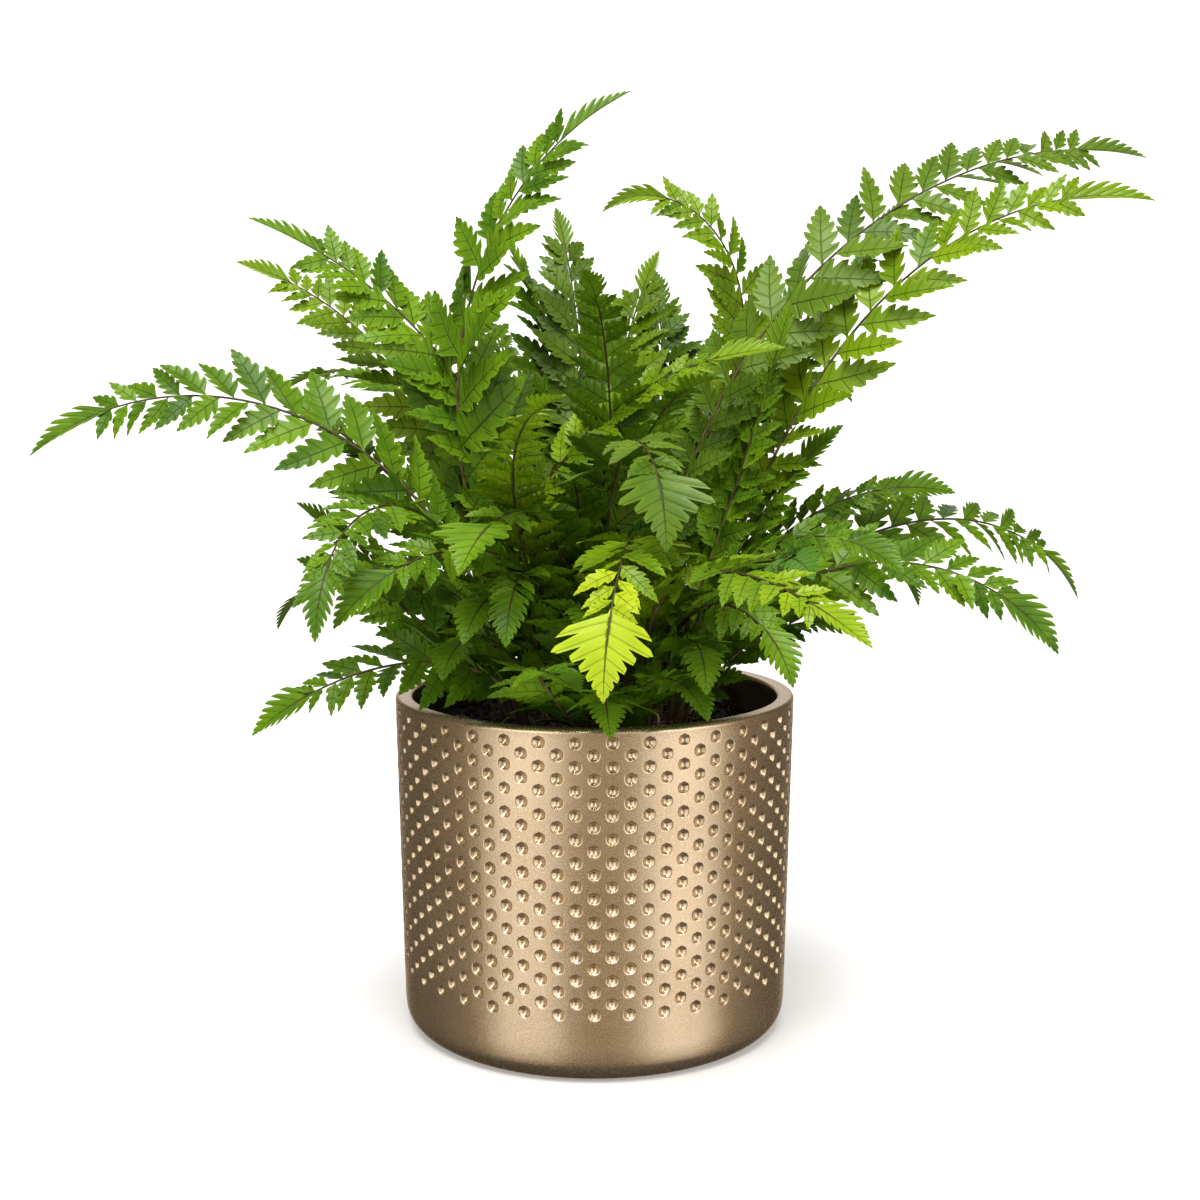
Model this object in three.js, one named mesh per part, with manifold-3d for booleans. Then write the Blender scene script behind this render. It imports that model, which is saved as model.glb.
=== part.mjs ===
// A potted fern: a gold-glazed pot with rows of small pits, its soil, and the fronds that arch out of it.
// Millimetres, +Z up. The pot stands on z = 0 with its axis at x = 0, y = 0, and its front faces -Y.
import * as THREE from 'three';
import Module from 'manifold-3d';

const wasm = await Module();
wasm.setup();

// Pot
const POT_HEIGHT = 118;
const POT_RADIUS = 70;
const FOOT_RADIUS = 67.6;
const FOOT_ROUNDING = 8;
const WALL = 6;
const LIP_ROUNDING = 3;
const POT_SIDES = 36;
const PIT_ROWS = 10;
const PITS_FROM = 21;
const PITS_TO = 112;
const PIT_RADIUS = 3.4;
const PIT_DEPTH = 1.5;

// Soil
const SOIL_TOP = 106;
const SOIL_GAP = 0.4;
const SOIL_SIDES = 24;
const SOIL_RINGS = 4;
const SOIL_BUMP = 2.2;

// Fronds
const ROOTED = 9;
const STIPE_RADIUS = 1.35;
const STIPE_SLENDERNESS = 110;
const TIP_RADIUS = 0.55;
const STIPE_STEP = 24;
const PAIR_SPACING = 1.02;
const LAST_PAIR = 0.2;
const LOWEST_LEAFLET = 0.78;
const FULL_FROM = 0.2;
const LEAFLET_TAPER = 0.55;
const TAPER_POWER = 1.6;
const LEAFLET_STALK = 1;
const LEAFLET_SWEEP = 34;
const LEAFLET_THICKNESS = 0.8;
const LEAFLET_DROOP = 0.16;
const SMALLEST_LEAFLET = 5;
const LIFT_SPREAD = 16;
const TWIST_SPREAD = 24;
const BLADE_TIP = 1.25;
const CLEARANCE = 0.35;
const CURVE_STEPS = 80;

// The sizes and the lifts in degrees that a leaflet tries in turn, until it is clear of what is there before it.
const SIZES = [1, 0.8, 0.6];
const LIFTS = [4, 18, -12, 32, -26, 46, -40, 60];

// A leaflet's margin, from the stalk on the side of the frond's foot round the tip to the stalk again.
// Shares of the leaflet's length: along its midrib, and across it towards the frond's tip.
const LEAFLET_MARGIN = [[0.4, -0.25], [1, 0.02], [0.57, 0.23], [0.4, 0.15], [0.24, 0.32]];
const NOTCH = 3;
const LEAFLET_HEART = 0.32;

// The toothed blade that ends a frond: one side of its margin, from its foot to its tip.
const TIP_MARGIN = [[0.18, 0.27], [0.34, 0.15], [0.5, 0.18], [0.7, 0.08]];

// Looks
const GLAZE = { color: 0xa58c5f, roughness: 0.32, metalness: 0.75 };
const SOIL = { color: 0x2e2118, roughness: 0.95, metalness: 0 };
const LEAF = { roughness: 0.55, metalness: 0 };
const TONES = { deep: 0x3f6a33, mid: 0x578239, light: 0x86a83f, grey: 0x6c8a5e };

// Each frond: its name, the distance and the direction of its foot from the pot's axis, the directions that
// it heads for at its foot and at its tip, the slopes there, how late it bends, its length, its roll,
// its longest leaflet, the share of it that is bare, and its tone. Directions and slopes are in degrees.
const FROND_COLUMNS = [
  'name', 'seat', 'seatAngle', 'headFoot', 'headTip', 'riseFoot', 'riseTip', 'bend', 'length', 'roll',
  'leaf', 'bare', 'tone',
];
const FRONDS = [
  ['left_long', 26, -158, -159, -176, 76, -42, 1.55, 230, -50, 26, 0.34, 'deep'],
  ['left_upper', 16, 158, 157, 189, 90, 20, 1.25, 220, -40, 24, 0.3, 'mid'],
  ['left_behind', 24, 155, 155, 156, 80, 13, 1.45, 220, -45, 22, 0.34, 'light'],
  ['top_tall', 16, 176, 3, 5, 115, 26, 1.7, 246, 35, 25, 0.28, 'mid'],
  ['top_centre', 16, 97, 97, 107, 90, 44, 1.9, 198, 0, 19, 0.26, 'grey'],
  ['top_curl', 16, -40, -125, -181, 117, -42, 4, 232, -70, 21, 0.3, 'light'],
  ['right_upper', 20, -21, -9, 23, 90, -9, 1.3, 311, 45, 26, 0.32, 'grey'],
  ['right_bright', 26, -8, -8, -13, 71, -14, 2.65, 261, 50, 25, 0.38, 'light'],
  ['right_inner', 22, 39, 39, 14, 64, 54, 1.25, 218, 30, 23, 0.3, 'mid'],
  ['right_low_back', 28, 8, -6, 25, 58, -60, 1.65, 195, 40, 22, 0.34, 'deep'],
  ['right_low', 28, -22, -21, -12, 68, -58, 1.3, 168, 45, 23, 0.3, 'deep'],
  ['rim_left', 32, -132, -118, -176, 73, -43, 0.75, 121, -30, 20, 0.26, 'deep'],
  ['left_mid', 30, 176, 147, 222, 60, 36, 0.6, 112, -40, 20, 0.26, 'mid'],
  ['left_hang', 28, -145, -147, -100, 81, -80, 1.6, 181, -15, 18, 0.34, 'deep'],
  ['left_small', 34, -172, -167, -173, 80, 18, 0.6, 95, -45, 18, 0.26, 'mid'],
  ['left_broad', 26, -118, -96, -149, 90, -51, 1.15, 154, -25, 22, 0.28, 'mid'],
  ['mid_top', 10, -116, -130, -62, 61, 6, 1.7, 187, 0, 20, 0.36, 'light'],
  ['mid_right', 16, -150, -17, -16, 136, 2, 0.75, 189, 40, 22, 0.34, 'light'],
  ['right_second', 20, -34, -9, -22, 66, 75, 0.75, 156, 50, 20, 0.36, 'mid'],
  ['back_centre', 22, 116, 120, 48, 78, 33, 1.5, 181, 20, 21, 0.28, 'mid'],
  ['front_pale', 20, -82, -84, -75, 90, -90, 2.1, 181, 0, 22, 0.32, 'grey'],
  ['front_left', 24, -102, -102, -118, 90, -53, 1.55, 149, 0, 20, 0.3, 'deep'],
  ['front_yellow', 26, -72, -75, -108, 80, -90, 1.55, 172, 0, 22, 0.3, 'light'],
  ['front_lime', 28, -56, -90, -46, 90, -30, 0.72, 176, 15, 20, 0.3, 'light'],
  ['rim_right', 34, -58, -58, -52, 90, -71, 1.3, 114, 20, 18, 0.26, 'mid'],
  ['front_bottom', 34, -80, -59, -69, 61, -40, 1.25, 79, 0, 16, 0.22, 'deep'],
  ['front_small', 34, -110, -111, -98, 91, -76, 1.7, 117, 0, 17, 0.24, 'mid'],
  ['front_tiny', 38, -92, -130, -57, 45, -13, 1.3, 107, 0, 16, 0.24, 'deep'],
  ['front_dark', 36, -72, -110, -82, 50, -39, 1.4, 76, 0, 16, 0.22, 'deep'],
  ['front_low_left', 34, -121, -107, -112, 96, -54, 1.35, 105, -10, 18, 0.26, 'deep'],
  ['right_small', 36, -30, -18, -26, 68, -27, 1.5, 84, 35, 17, 0.28, 'mid'],
  ['glossy', 34, -42, -31, -77, 66, -33, 2.4, 114, 30, 17, 0.3, 'grey'],
  ['back_left', 26, 132, 128, 140, 78, -25, 1.4, 230, 0, 23, 0.28, 'mid'],
  ['back_right', 26, 62, 58, 50, 78, -30, 1.4, 235, 0, 23, 0.28, 'deep'],
  ['back_low', 32, 92, 92, 96, 72, -62, 1.3, 185, 0, 22, 0.28, 'deep'],
  ['back_low_left', 34, 156, 152, 146, 66, -60, 1.3, 140, -20, 21, 0.28, 'deep'],
  ['back_low_right', 34, 34, 34, 42, 66, -60, 1.3, 170, 20, 21, 0.28, 'mid'],
  ['heart_left', 12, -169, 172, 160, 86, 30, 1.5, 150, -40, 21, 0.3, 'mid'],
  ['heart_front', 15, -98, -98, -92, 88, -10, 1.6, 135, 0, 20, 0.32, 'mid'],
  ['heart_right', 12, 5, 12, 24, 86, 30, 1.5, 160, 40, 21, 0.3, 'deep'],
  ['heart_back', 14, 75, 80, 70, 86, 10, 1.5, 170, 0, 21, 0.3, 'mid'],
  ['back_left_tall', 26, 118, 108, 118, 78, 22, 1.5, 200, 0, 20, 0.3, 'deep'],
  ['back_right_tall', 26, 48, 66, 60, 80, 22, 1.5, 190, 0, 20, 0.3, 'mid'],
  ['left_front', 32, -143, -137, -146, 80, -40, 1.4, 122, -20, 19, 0.26, 'deep'],
  ['right_front', 30, -33, -43, -36, 82, -40, 1.5, 135, 25, 19, 0.26, 'deep'],
  ['right_mid', 32, 0, 2, -4, 78, -15, 1.5, 140, 40, 19, 0.28, 'mid'],
  ['crown_left', 20, 100, 96, 150, 88, 52, 1.6, 188, 10, 18, 0.4, 'mid'],
  ['crown_mid', 8, 100, 70, 60, 86, 45, 1.8, 182, -5, 18, 0.42, 'light'],
  ['crown_near', 18, 28, 60, 100, 78, 50, 1.6, 178, -10, 18, 0.42, 'mid'],
  ['crown_right', 26, 25, 50, 30, 76, 50, 1.6, 176, 15, 18, 0.42, 'deep'],
  ['crown_front', 8, -40, -84, -104, 90, 14, 2.6, 178, 0, 17, 0.42, 'mid'],
  ['low_left', 30, -128, -140, -100, 82, -45, 1.2, 88, 0, 18, 0.2, 'mid'],
  ['low_right', 30, -50, -60, -90, 80, -50, 1.2, 92, 0, 18, 0.2, 'deep'],
  ['low_mid', 28, -95, -100, -80, 84, -40, 1.4, 96, 0, 18, 0.2, 'mid'],
  ['side_right', 30, -12, -20, -5, 78, 40, 1.4, 122, 40, 17, 0.34, 'mid'],
  ['left_second', 26, -172, -172, -185, 76, 25, 1.3, 150, -45, 20, 0.3, 'mid'],
  ['heart_high', 10, -66, -80, -60, 84, 0, 1.8, 165, 0, 20, 0.34, 'deep'],
];

const radians = THREE.MathUtils.degToRad;
const mix = THREE.MathUtils.lerp;

// A steady number from 0 to 1 for each seed.
function chance(seed) {
  const wave = Math.sin(seed * 12.9898) * 43758.5453;
  return wave - Math.floor(wave);
}

// A closed mesh under construction: shared points, and triangles that face out when listed anticlockwise.
class Shell {
  constructor() {
    this.points = [];
    this.triangles = [];
  }

  point(at) {
    this.points.push(at.clone());
    return this.points.length - 1;
  }

  triangle(a, b, c) {
    this.triangles.push(a, b, c);
  }

  quad(a, b, c, d) {
    this.triangle(a, b, c);
    this.triangle(a, c, d);
  }

  fan(centre, loop) {
    loop.forEach((corner, i) => this.triangle(centre, corner, loop[(i + 1) % loop.length]));
  }

  // As a fan, from a corner that is itself on the outline.
  web(corner, others) {
    others.slice(1).forEach((other, i) => this.triangle(corner, others[i], other));
  }

  solid() {
    const vertProperties = new Float32Array(this.points.flatMap((at) => at.toArray()));
    const triVerts = new Uint32Array(this.triangles);
    return new wasm.Manifold(new wasm.Mesh({ numProp: 3, vertProperties, triVerts }));
  }

  geometry() {
    const geometry = new THREE.BufferGeometry().setFromPoints(this.points);
    geometry.setIndex(this.triangles);
    return geometry;
  }
}

function meshOf(name, geometry, look) {
  geometry.computeVertexNormals();
  const mesh = new THREE.Mesh(geometry, new THREE.MeshStandardMaterial(look));
  mesh.name = name;
  return mesh;
}

function onAxis(radius, angle, height) {
  return new THREE.Vector3(radius * Math.cos(angle), radius * Math.sin(angle), height);
}

// A ring of points around the pot's axis.
function ring(shell, sides, radius, height) {
  const turn = (2 * Math.PI) / sides;
  return Array.from({ length: sides }, (_, i) => shell.point(onAxis(radius, i * turn, height)));
}

// The wall between two rings, the first of which is the lower one on a surface that faces out.
function band(shell, lower, upper) {
  lower.forEach((corner, i) => {
    const next = (i + 1) % lower.length;
    shell.quad(corner, lower[next], upper[next], upper[i]);
  });
}

function outerRadius(height) {
  return mix(FOOT_RADIUS, POT_RADIUS, height / POT_HEIGHT);
}

// A cell of the wall with a four-sided pit sunk into its middle.
function pit(shell, corners, angle, height) {
  const radius = outerRadius(height);
  const spread = PIT_RADIUS / radius;
  const middle = shell.point(onAxis(radius - PIT_DEPTH, angle, height));
  const edge = [[0, -1], [1, 0], [0, 1], [-1, 0]].map(([across, up]) => {
    const edgeHeight = height + up * PIT_RADIUS;
    return shell.point(onAxis(outerRadius(edgeHeight), angle + across * spread, edgeHeight));
  });
  shell.fan(middle, edge);
  edge.forEach((point, i) => {
    shell.triangle(corners[i], corners[(i + 1) % 4], point);
    shell.triangle(corners[(i + 1) % 4], edge[(i + 1) % 4], point);
  });
}

// Rows of cells up the wall, with a pit in every second cell and the rows staggered.
function pittedWall(shell, firstRing) {
  const turn = (2 * Math.PI) / POT_SIDES;
  const step = (PITS_TO - PITS_FROM) / PIT_ROWS;
  let lower = firstRing;
  for (let row = 0; row < PIT_ROWS; row += 1) {
    const top = PITS_FROM + (row + 1) * step;
    const upper = ring(shell, POT_SIDES, outerRadius(top), top);
    for (let i = 0; i < POT_SIDES; i += 1) {
      const next = (i + 1) % POT_SIDES;
      const corners = [lower[i], lower[next], upper[next], upper[i]];
      if ((i + row) % 2 === 0) {
        pit(shell, corners, (i + 0.5) * turn, top - step / 2);
      } else {
        shell.quad(...corners);
      }
    }
    lower = upper;
  }
  return lower;
}

function makePot() {
  const shell = new Shell();
  const rings = (outline) => outline.map(([radius, height]) => ring(shell, POT_SIDES, radius, height));
  const join = (list) => list.slice(1).forEach((upper, i) => band(shell, list[i], upper));

  const halfway = radians(45);
  const footFlat = FOOT_RADIUS - FOOT_ROUNDING;
  const foot = rings([
    [footFlat, 0],
    [footFlat + FOOT_ROUNDING * Math.sin(halfway), FOOT_ROUNDING * (1 - Math.cos(halfway))],
    [outerRadius(FOOT_ROUNDING), FOOT_ROUNDING],
    [outerRadius(PITS_FROM), PITS_FROM],
  ]);
  join(foot);
  shell.fan(shell.point(onAxis(0, 0, 0)), [...foot[0]].reverse());

  const wallTop = pittedWall(shell, foot.at(-1));
  const lip = POT_HEIGHT - LIP_ROUNDING;
  const soften = LIP_ROUNDING * (1 - Math.cos(halfway));
  const inside = rings([
    [outerRadius(lip), lip],
    [POT_RADIUS - soften, POT_HEIGHT - soften],
    [POT_RADIUS - LIP_ROUNDING, POT_HEIGHT],
    [POT_RADIUS - WALL + soften, POT_HEIGHT - soften],
    [outerRadius(lip) - WALL, lip],
    [outerRadius(WALL) - WALL, WALL],
  ]);
  join([wallTop, ...inside]);
  shell.fan(shell.point(onAxis(0, 0, WALL)), inside.at(-1));
  return shell.geometry();
}

// The soil, before the fronds' holes: a block that fills the pot, with an uneven top.
function makeSoilBlock() {
  const shell = new Shell();
  const inner = (height) => outerRadius(height) - WALL - SOIL_GAP;
  const bottom = WALL + SOIL_GAP;
  const edge = inner(SOIL_TOP);
  const floorRing = ring(shell, SOIL_SIDES, inner(bottom), bottom);
  shell.fan(shell.point(onAxis(0, 0, bottom)), [...floorRing].reverse());
  let outer = ring(shell, SOIL_SIDES, edge, SOIL_TOP);
  band(shell, floorRing, outer);
  for (let step = 1; step < SOIL_RINGS; step += 1) {
    const next = ring(shell, SOIL_SIDES, edge * (1 - step / SOIL_RINGS), SOIL_TOP);
    next.forEach((index) => {
      shell.points[index].z += SOIL_BUMP * (chance(index) - 0.5);
    });
    band(shell, outer, next);
    outer = next;
  }
  shell.fan(shell.point(onAxis(0, 0, SOIL_TOP)), outer);
  return shell.solid();
}

// The line of a frond's midrib: points a small step apart, each with the directions along and beside it.
function midribOf(frond) {
  const step = frond.length / CURVE_STEPS;
  const at = onAxis(frond.seat, radians(frond.seatAngle), SOIL_TOP);
  const line = [];
  for (let i = 0; i <= CURVE_STEPS; i += 1) {
    const share = Math.min(1, (i + 0.5) / CURVE_STEPS);
    const head = radians(mix(frond.headFoot, frond.headTip, share));
    const rise = radians(mix(frond.riseFoot, frond.riseTip, share ** frond.bend));
    const along = new THREE.Vector3(
      Math.cos(rise) * Math.cos(head), Math.cos(rise) * Math.sin(head), Math.sin(rise));
    const side = new THREE.Vector3(Math.sin(head), -Math.cos(head), 0).applyAxisAngle(along, radians(frond.roll));
    const up = new THREE.Vector3().crossVectors(side, along);
    line.push({ at: at.clone(), along, side, up });
    at.addScaledVector(along, step);
  }
  return line;
}

// The midrib's place and directions at a distance from the soil; below the soil it runs straight on.
function placeOn(frond, distance) {
  const step = frond.length / CURVE_STEPS;
  const index = THREE.MathUtils.clamp(Math.floor(distance / step), 0, CURVE_STEPS);
  const { at, along, side, up } = frond.line[index];
  return { at: at.clone().addScaledVector(along, distance - index * step), along, side, up };
}

// The frond's three-sided midrib is thickest at its foot.
function midribRadius(frond, distance) {
  const share = THREE.MathUtils.clamp(distance / frond.length, 0, 1);
  return mix(Math.min(STIPE_RADIUS, frond.length / STIPE_SLENDERNESS), TIP_RADIUS, share);
}

// Leaflets are nearly full at the lowest pair, full a little above it, and about half as long at the tip.
function leafletLength(frond, share) {
  const fullness = mix(LOWEST_LEAFLET, 1, Math.min(1, share / FULL_FROM));
  return frond.leaf * fullness * (1 - LEAFLET_TAPER * share ** TAPER_POWER);
}

// Where the leaflets grow: in pairs, closer together as they get smaller. The tip blade starts at the end.
function leafletPlan(frond) {
  const first = frond.length * frond.bare;
  const end = frond.length - frond.leaf * BLADE_TIP;
  const pairs = [];
  let distance = first;
  while (distance < end - frond.leaf * LAST_PAIR) {
    const length = leafletLength(frond, (distance - first) / (end - first));
    const seed = frond.seed + 2 * pairs.length;
    pairs.push({ distance, leaflets: [{ length, hand: 1, seed }, { length, hand: -1, seed: seed + 1 }] });
    distance += length * PAIR_SPACING;
  }
  return { pairs, end };
}

// The places along a frond that its solid is built from: its foot, its bare stipe, its pairs and its tip blade.
function stationsOf(frond) {
  const bareLength = frond.length * frond.bare;
  const steps = Math.max(1, Math.round(bareLength / STIPE_STEP));
  const bare = Array.from({ length: steps }, (_, i) => (i * bareLength) / steps);
  const alone = (distance) => ({ distance, leaflets: [] });
  return [...[-ROOTED, ...bare].map(alone), ...frond.plan.pairs, alone(frond.plan.end)];
}

// The three corners of the midrib at a place, a third of a turn apart: its top and its two lower edges.
function midribCorners(place, radius) {
  const corner = (turn) => place.at.clone()
    .addScaledVector(place.side, radius * Math.cos(radians(turn)))
    .addScaledVector(place.up, radius * Math.sin(radians(turn)));
  return { top: corner(90), right: corner(-30), left: corner(210) };
}

// A leaflet's stalk, its margin and the high point of its upper face, bent up by a lift in degrees.
function leafletShape(place, radius, leaflet, lift, size) {
  const length = leaflet.length * size;
  const bend = radians(lift + LIFT_SPREAD * (chance(leaflet.seed) - 0.5));
  const twist = radians(TWIST_SPREAD * (chance(leaflet.seed + 0.5) - 0.5));
  const outward = place.side.clone().multiplyScalar(leaflet.hand * Math.cos(bend))
    .addScaledVector(place.up, Math.sin(bend));
  const face = place.up.clone().multiplyScalar(Math.cos(bend))
    .addScaledVector(place.side, -leaflet.hand * Math.sin(bend));
  const sweep = radians(LEAFLET_SWEEP);
  const rib = outward.clone().multiplyScalar(Math.cos(sweep)).addScaledVector(place.along, Math.sin(sweep));
  const across = place.along.clone().multiplyScalar(Math.cos(sweep)).addScaledVector(outward, -Math.sin(sweep));
  across.applyAxisAngle(rib, twist);
  face.applyAxisAngle(rib, twist);

  const corners = midribCorners(place, radius);
  const root = leaflet.hand > 0 ? corners.right : corners.left;
  const on = (along, aside, above) => root.clone()
    .addScaledVector(rib, along * length)
    .addScaledVector(across, aside * length)
    .addScaledVector(face, above - LEAFLET_DROOP * length * along ** 2);
  return {
    stalk: [-LEAFLET_STALK, LEAFLET_STALK].map((aside) => root.clone().addScaledVector(place.along, aside)),
    margin: LEAFLET_MARGIN.map(([along, aside]) => on(along, aside, 0)),
    heart: on(LEAFLET_HEART, 0, LEAFLET_THICKNESS),
  };
}

// A leaflet's two faces: the upper one rises to its heart, and the lower one spreads flat from a notch.
// Each face also reaches a corner of the midrib, where one is given.
function leafletFaces(shell, shape, hand, stalk, upperCorner, lowerCorner) {
  const margin = shape.margin.map((at) => shell.point(at));
  const heart = shell.point(shape.heart);
  const upper = [...upperCorner, stalk[0], ...margin, stalk[1]];
  const around = [...margin.slice(NOTCH + 1), stalk[1], ...lowerCorner, stalk[0], ...margin.slice(0, NOTCH)];
  shell.fan(heart, hand > 0 ? upper : upper.reverse());
  shell.web(margin[NOTCH], hand > 0 ? around.reverse() : around);
}

// A leaflet alone, closed at its stalk, to try how much room it has.
function leafletSolid(shape, hand) {
  const shell = new Shell();
  leafletFaces(shell, shape, hand, shape.stalk.map((at) => shell.point(at)), [], []);
  return shell.solid();
}

// The midrib alone, from its foot in the soil to its last place.
function midribSolid(frond) {
  const shell = new Shell();
  const loops = stationsOf(frond).map(({ distance }) => {
    const corners = midribCorners(placeOn(frond, distance), midribRadius(frond, distance));
    return [corners.top, corners.left, corners.right].map((at) => shell.point(at));
  });
  loops.slice(1).forEach((loop, i) => band(shell, loop, loops[i]));
  shell.triangle(...loops[0]);
  shell.triangle(...[...loops.at(-1)].reverse());
  return shell.solid();
}

// Solids that are already placed, with their boxes, so that only near ones are measured.
const placed = [];

function isClear(solid, owner) {
  const box = solid.boundingBox();
  return placed.every((other) => {
    const apart = [0, 1, 2].some((axis) => box.min[axis] > other.box.max[axis] + CLEARANCE
      || box.max[axis] < other.box.min[axis] - CLEARANCE);
    const own = other.owner === owner && other.isMidrib;
    return apart || own || solid.minGap(other.solid, CLEARANCE) >= CLEARANCE;
  });
}

function place(solid, owner, isMidrib) {
  placed.push({ solid, box: solid.boundingBox(), owner, isMidrib });
}

// A leaflet's shape at the first bend and size that keep it clear of everything placed before it, or none.
function settleLeaflet(frond, distance, leaflet) {
  const spot = placeOn(frond, distance);
  const radius = midribRadius(frond, distance);
  for (const size of SIZES) {
    for (const lift of LIFTS) {
      if (leaflet.length * size < SMALLEST_LEAFLET) {
        continue;
      }
      const shape = leafletShape(spot, radius, leaflet, lift, size);
      const solid = leafletSolid(shape, leaflet.hand);
      if (isClear(solid, frond.name)) {
        place(solid, frond.name, false);
        return shape;
      }
    }
  }
  return null;
}

// The blade that ends a frond, shaped as a leaflet with both sides alike.
function tipShape(frond) {
  const spot = placeOn(frond, frond.plan.end);
  const length = frond.length - frond.plan.end;
  const on = (along, aside, above) => spot.at.clone()
    .addScaledVector(spot.along, along * length)
    .addScaledVector(spot.side, aside * length)
    .addScaledVector(spot.up, above - LEAFLET_DROOP * length * along ** 2);
  return {
    right: TIP_MARGIN.map(([along, aside]) => on(along, aside, 0)),
    left: TIP_MARGIN.map(([along, aside]) => on(along, -aside, 0)).reverse(),
    tip: on(1, 0, 0),
    faces: [0.5, -0.5].map((above) => on(LEAFLET_HEART, 0, above * LEAFLET_THICKNESS)),
  };
}

// The tip blade alone, closed at its foot, for other fronds' leaflets to keep clear of.
function tipSolid(frond) {
  const shape = tipShape(frond);
  const corners = midribCorners(placeOn(frond, frond.plan.end), midribRadius(frond, frond.plan.end));
  const margin = [corners.right, ...shape.right, shape.tip, ...shape.left, corners.left];
  const shell = new Shell();
  const loop = margin.map((at) => shell.point(at));
  const [above, below] = shape.faces.map((at) => shell.point(at));
  shell.fan(above, loop);
  shell.fan(below, [...loop].reverse());
  return shell.solid();
}

// A whole frond as one closed body: the midrib, the leaflets that grow from its edges, and its tip.
function frondGeometry(frond) {
  const shell = new Shell();
  let before = null;
  for (const { distance, leaflets } of stationsOf(frond)) {
    const corners = midribCorners(placeOn(frond, distance), midribRadius(frond, distance));
    const grown = leaflets.filter((leaflet) => leaflet.shape);
    const edge = (hand, corner) => {
      const leaflet = grown.find((one) => one.hand === hand);
      const ends = leaflet ? leaflet.shape.stalk : [corner];
      const indices = ends.map((at) => shell.point(at));
      return [indices[0], indices.at(-1)];
    };
    const top = shell.point(corners.top);
    const right = edge(1, corners.right);
    const left = edge(-1, corners.left);
    if (before) {
      shell.quad(before.top, before.right[1], right[0], top);
      shell.quad(before.left[1], before.top, top, left[0]);
      shell.quad(before.right[1], before.left[1], left[0], right[0]);
    } else {
      shell.triangle(top, left[0], right[0]);
    }
    if (grown.length === 2) {
      shell.quad(right[0], left[0], left[1], right[1]);
    }
    for (const { shape, hand } of grown) {
      const stalk = hand > 0 ? right : left;
      const below = grown.length === 2 ? [] : [hand > 0 ? left[0] : right[0]];
      leafletFaces(shell, shape, hand, stalk, [top], below);
    }
    before = { top, right, left };
  }

  const tip = tipShape(frond);
  const margin = [...tip.right, tip.tip, ...tip.left].map((at) => shell.point(at));
  const [above, below] = tip.faces.map((at) => shell.point(at));
  shell.fan(above, [before.top, before.right[1], ...margin, before.left[1]]);
  shell.fan(below, [before.left[1], ...margin.reverse(), before.right[1]]);
  return shell.geometry();
}

const fern = new THREE.Group();
fern.add(meshOf('pot', makePot(), GLAZE));

const fronds = FRONDS.map((row, number) => {
  const frond = Object.fromEntries(FROND_COLUMNS.map((column, i) => [column, row[i]]));
  frond.seed = 100 * (number + 1);
  frond.line = midribOf(frond);
  frond.plan = leafletPlan(frond);
  return frond;
});

// The midribs come first, and each leaves a hole in the soil that is a little wider than its foot.
let soil = makeSoilBlock();
for (const frond of fronds) {
  place(midribSolid(frond), frond.name, true);
  place(tipSolid(frond), frond.name, true);
  const spot = placeOn(frond, 0);
  const hole = new Shell();
  const loops = [-ROOTED - CLEARANCE, ROOTED].map((distance) => {
    const middle = { ...spot, at: spot.at.clone().addScaledVector(spot.along, distance) };
    const corners = midribCorners(middle, midribRadius(frond, 0) + 2 * CLEARANCE);
    return [corners.top, corners.left, corners.right].map((at) => hole.point(at));
  });
  band(hole, loops[1], loops[0]);
  hole.triangle(...loops[0]);
  hole.triangle(...[...loops[1]].reverse());
  soil = soil.subtract(hole.solid());
}
place(soil, 'soil', false);

const soilMesh = soil.getMesh();
const soilGeometry = new THREE.BufferGeometry();
soilGeometry.setAttribute('position', new THREE.BufferAttribute(soilMesh.vertProperties, 3));
soilGeometry.setIndex(new THREE.BufferAttribute(soilMesh.triVerts, 1));
fern.add(meshOf('soil', soilGeometry, SOIL));

for (const frond of fronds) {
  for (const { distance, leaflets } of frond.plan.pairs) {
    for (const leaflet of leaflets) {
      leaflet.shape = settleLeaflet(frond, distance, leaflet);
    }
  }
  fern.add(meshOf(`frond_${frond.name}`, frondGeometry(frond), { ...LEAF, color: TONES[frond.tone] }));
}

export default fern;
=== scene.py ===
"""A potted fern in a gold-glazed pot, dressed over its frame of solids. Sizes are in metres.

The pot's wall, the soil and every frond are surfaces worked out with numpy from a few driving sizes.
Each frond follows the same line as its solid: the table of fronds gives the line, and every leaflet on it
is one toothed blade, spread along its own rib.
"""
import math

import bpy
import numpy as np
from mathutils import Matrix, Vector


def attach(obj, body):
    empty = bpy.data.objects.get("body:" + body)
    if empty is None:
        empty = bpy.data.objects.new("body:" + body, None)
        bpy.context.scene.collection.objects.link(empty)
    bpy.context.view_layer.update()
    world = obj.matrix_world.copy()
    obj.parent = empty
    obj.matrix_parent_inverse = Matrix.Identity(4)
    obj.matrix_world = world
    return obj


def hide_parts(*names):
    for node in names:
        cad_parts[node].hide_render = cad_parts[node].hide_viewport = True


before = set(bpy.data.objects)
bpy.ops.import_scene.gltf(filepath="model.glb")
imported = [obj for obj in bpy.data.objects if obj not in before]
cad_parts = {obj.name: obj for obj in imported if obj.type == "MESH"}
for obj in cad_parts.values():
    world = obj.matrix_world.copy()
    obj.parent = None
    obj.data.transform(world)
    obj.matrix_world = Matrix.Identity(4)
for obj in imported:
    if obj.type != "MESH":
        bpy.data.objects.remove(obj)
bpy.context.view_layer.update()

MM = 0.001
SEED = 11
FROND_SEED = SEED + 10
SHARP_ANGLE = 62
# Points closer together than this become one.
MERGE_WITHIN = 0.001 * MM

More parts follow.
